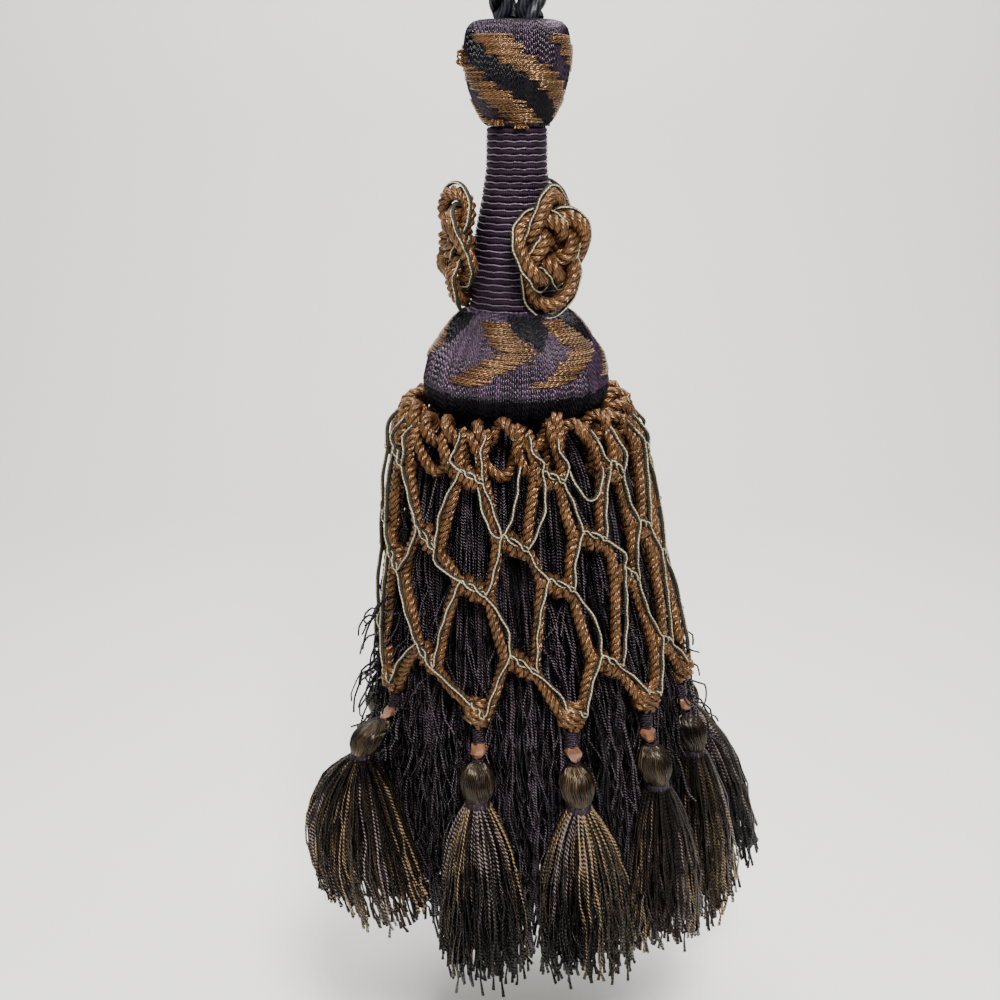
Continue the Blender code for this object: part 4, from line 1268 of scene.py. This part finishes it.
# (name, place, target, size, power) of each soft light.
MIDDLE = (0.0, 0.0, -0.2)
LIGHTS = (("key", (0.10, -0.60, 0.42), MIDDLE, 0.24, 19.0), ("fill", (-0.6, -0.55, -0.05), MIDDLE, 0.5, 2.5),
          ("back", (0.2, 0.30, 0.45), MIDDLE, 0.4, 3.0),
          ("backdrop", (0.0, 0.20, 0.60), (0.0, 0.80, -0.30), 0.8, 15.0))
SKY, SKY_STRENGTH = (0.93, 0.95, 1.0, 1.0), 0.07
PAINT, PAINT_ROUGHNESS = (0.78, 0.77, 0.74, 1.0), 0.8
# The floor's height, where it ends in front and behind, its height there, its bend and half its width.
FLOOR_LOW, FLOOR_NEAR, FLOOR_FAR, FLOOR_TOP, FLOOR_BEND, FLOOR_HALF = -0.42, -3.0, 0.9, 2.2, 0.3, 4.0
CAMERA_AT, CAMERA_DOWN, LENS, SENSOR = (-0.005, -0.400, -0.089), 17.5, 46.8, 36.0


class TASSEL_OT_stage(bpy.types.Operator):
    """Sets the pale floor that curves up behind, the soft lights and the camera"""
    bl_idname = "tassel.stage"
    bl_label = "Stage"

    def execute(self, context):
        self.floor()
        for row in LIGHTS:
            self.light(*row)
        world = bpy.data.worlds.new("soft daylight")
        world.use_nodes = True
        sky = world.node_tree.nodes["Background"]
        Nodes(world.node_tree).fill(sky, {"Color": SKY, "Strength": SKY_STRENGTH})
        context.scene.world = world
        self.camera(context)
        return {"FINISHED"}

    def floor(self):
        """The pale floor that curves up behind."""
        rows = [(FLOOR_NEAR, FLOOR_LOW), (FLOOR_FAR - FLOOR_BEND, FLOOR_LOW)]
        for degrees in range(10, 91, 10):
            turn = math.radians(degrees)
            rows.append((FLOOR_FAR - FLOOR_BEND + FLOOR_BEND * math.sin(turn),
                         FLOOR_LOW + FLOOR_BEND * (1 - math.cos(turn))))
        rows.append((FLOOR_FAR, FLOOR_TOP))
        points = [(x, y, z) for y, z in rows for x in (-FLOOR_HALF, FLOOR_HALF)]
        faces = [(2 * i, 2 * i + 1, 2 * i + 3, 2 * i + 2) for i in range(len(rows) - 1)]
        mesh = bpy.data.meshes.new("floor")
        mesh.from_pydata(points, [], faces)
        mesh.shade_smooth()
        paint, t, shader = material("pale floor")
        t.fill(shader, {"Base Color": PAINT, "Roughness": PAINT_ROUGHNESS})
        mesh.materials.append(paint)
        link("floor", mesh)

    def light(self, name, spot, target, size, power):
        """A soft light that faces its target."""
        lamp = bpy.data.lights.new(name, "AREA")
        lamp.size = size
        lamp.energy = power
        obj = link(name, lamp)
        obj.location = spot
        obj.rotation_euler = (Vector(target) - Vector(spot)).to_track_quat("-Z", "Y").to_euler()
        obj.visible_camera = False

    def camera(self, context):
        """A camera that looks down on the tassel from the front."""
        eye = bpy.data.cameras.new("camera")
        eye.sensor_width = SENSOR
        eye.lens = LENS
        eye.clip_start = 0.01
        obj = link("camera", eye)
        obj.location = CAMERA_AT
        obj.rotation_euler = (math.radians(90.0 - CAMERA_DOWN), 0.0, 0.0)
        context.scene.camera = obj


# Add-on

class TasselSizes(bpy.types.PropertyGroup):
    """Sizes of the tassel's cords and threads."""
    rope: bpy.props.FloatProperty(
        name="Rope", description="Diameter of the rope", default=0.0085, unit="LENGTH", precision=4)
    skirt_threads: bpy.props.IntProperty(
        name="Skirt Threads", description="Threads in each lock of the skirt", default=7, min=1)
    small_threads: bpy.props.IntProperty(
        name="Small Tassel Threads", description="Threads in each lock of a small tassel", default=5, min=1)


class TasselColours(bpy.types.PropertyGroup):
    """Main colours of the tassel."""
    bronze: bpy.props.FloatVectorProperty(
        name="Bronze", description="Colour of the twisted cord and the stitches", subtype="COLOR",
        default=(0.080, 0.036, 0.0140))
    floss: bpy.props.FloatVectorProperty(
        name="Floss", description="Colour of the floss on the cup and the bun", subtype="COLOR",
        default=(0.0070, 0.0038, 0.0072))


OPERATORS = (TASSEL_OT_stage, TASSEL_OT_rope, TASSEL_OT_head, TASSEL_OT_rosettes, TASSEL_OT_net,
             TASSEL_OT_skirt, TASSEL_OT_small_tassels)


class TASSEL_PT_panel(bpy.types.Panel):
    """Lists the tassel's sizes, colours and pieces."""
    bl_idname = "TASSEL_PT_panel"
    bl_label = "Tieback Tassel"
    bl_space_type = "VIEW_3D"
    bl_region_type = "UI"
    bl_category = "Tassel"

    def draw(self, context):
        for group in (context.scene.tassel_sizes, context.scene.tassel_colours):
            for name in group.__annotations__:
                self.layout.prop(group, name)
        for operator in OPERATORS:
            self.layout.operator(operator.bl_idname)


CLASSES = (TasselSizes, TasselColours, *OPERATORS, TASSEL_PT_panel)


def register():
    """Adds the classes and the scene's settings."""
    for cls in CLASSES:
        bpy.utils.register_class(cls)
    bpy.types.Scene.tassel_sizes = bpy.props.PointerProperty(type=TasselSizes)
    bpy.types.Scene.tassel_colours = bpy.props.PointerProperty(type=TasselColours)


def unregister():
    """Takes them away again."""
    del bpy.types.Scene.tassel_colours
    del bpy.types.Scene.tassel_sizes
    for cls in reversed(CLASSES):
        bpy.utils.unregister_class(cls)


def main():
    """Makes every piece."""
    register()
    prepare()
    for operator in OPERATORS:
        group, name = operator.bl_idname.split(".")
        getattr(getattr(bpy.ops, group), name)()


if __name__ == "__main__":
    main()
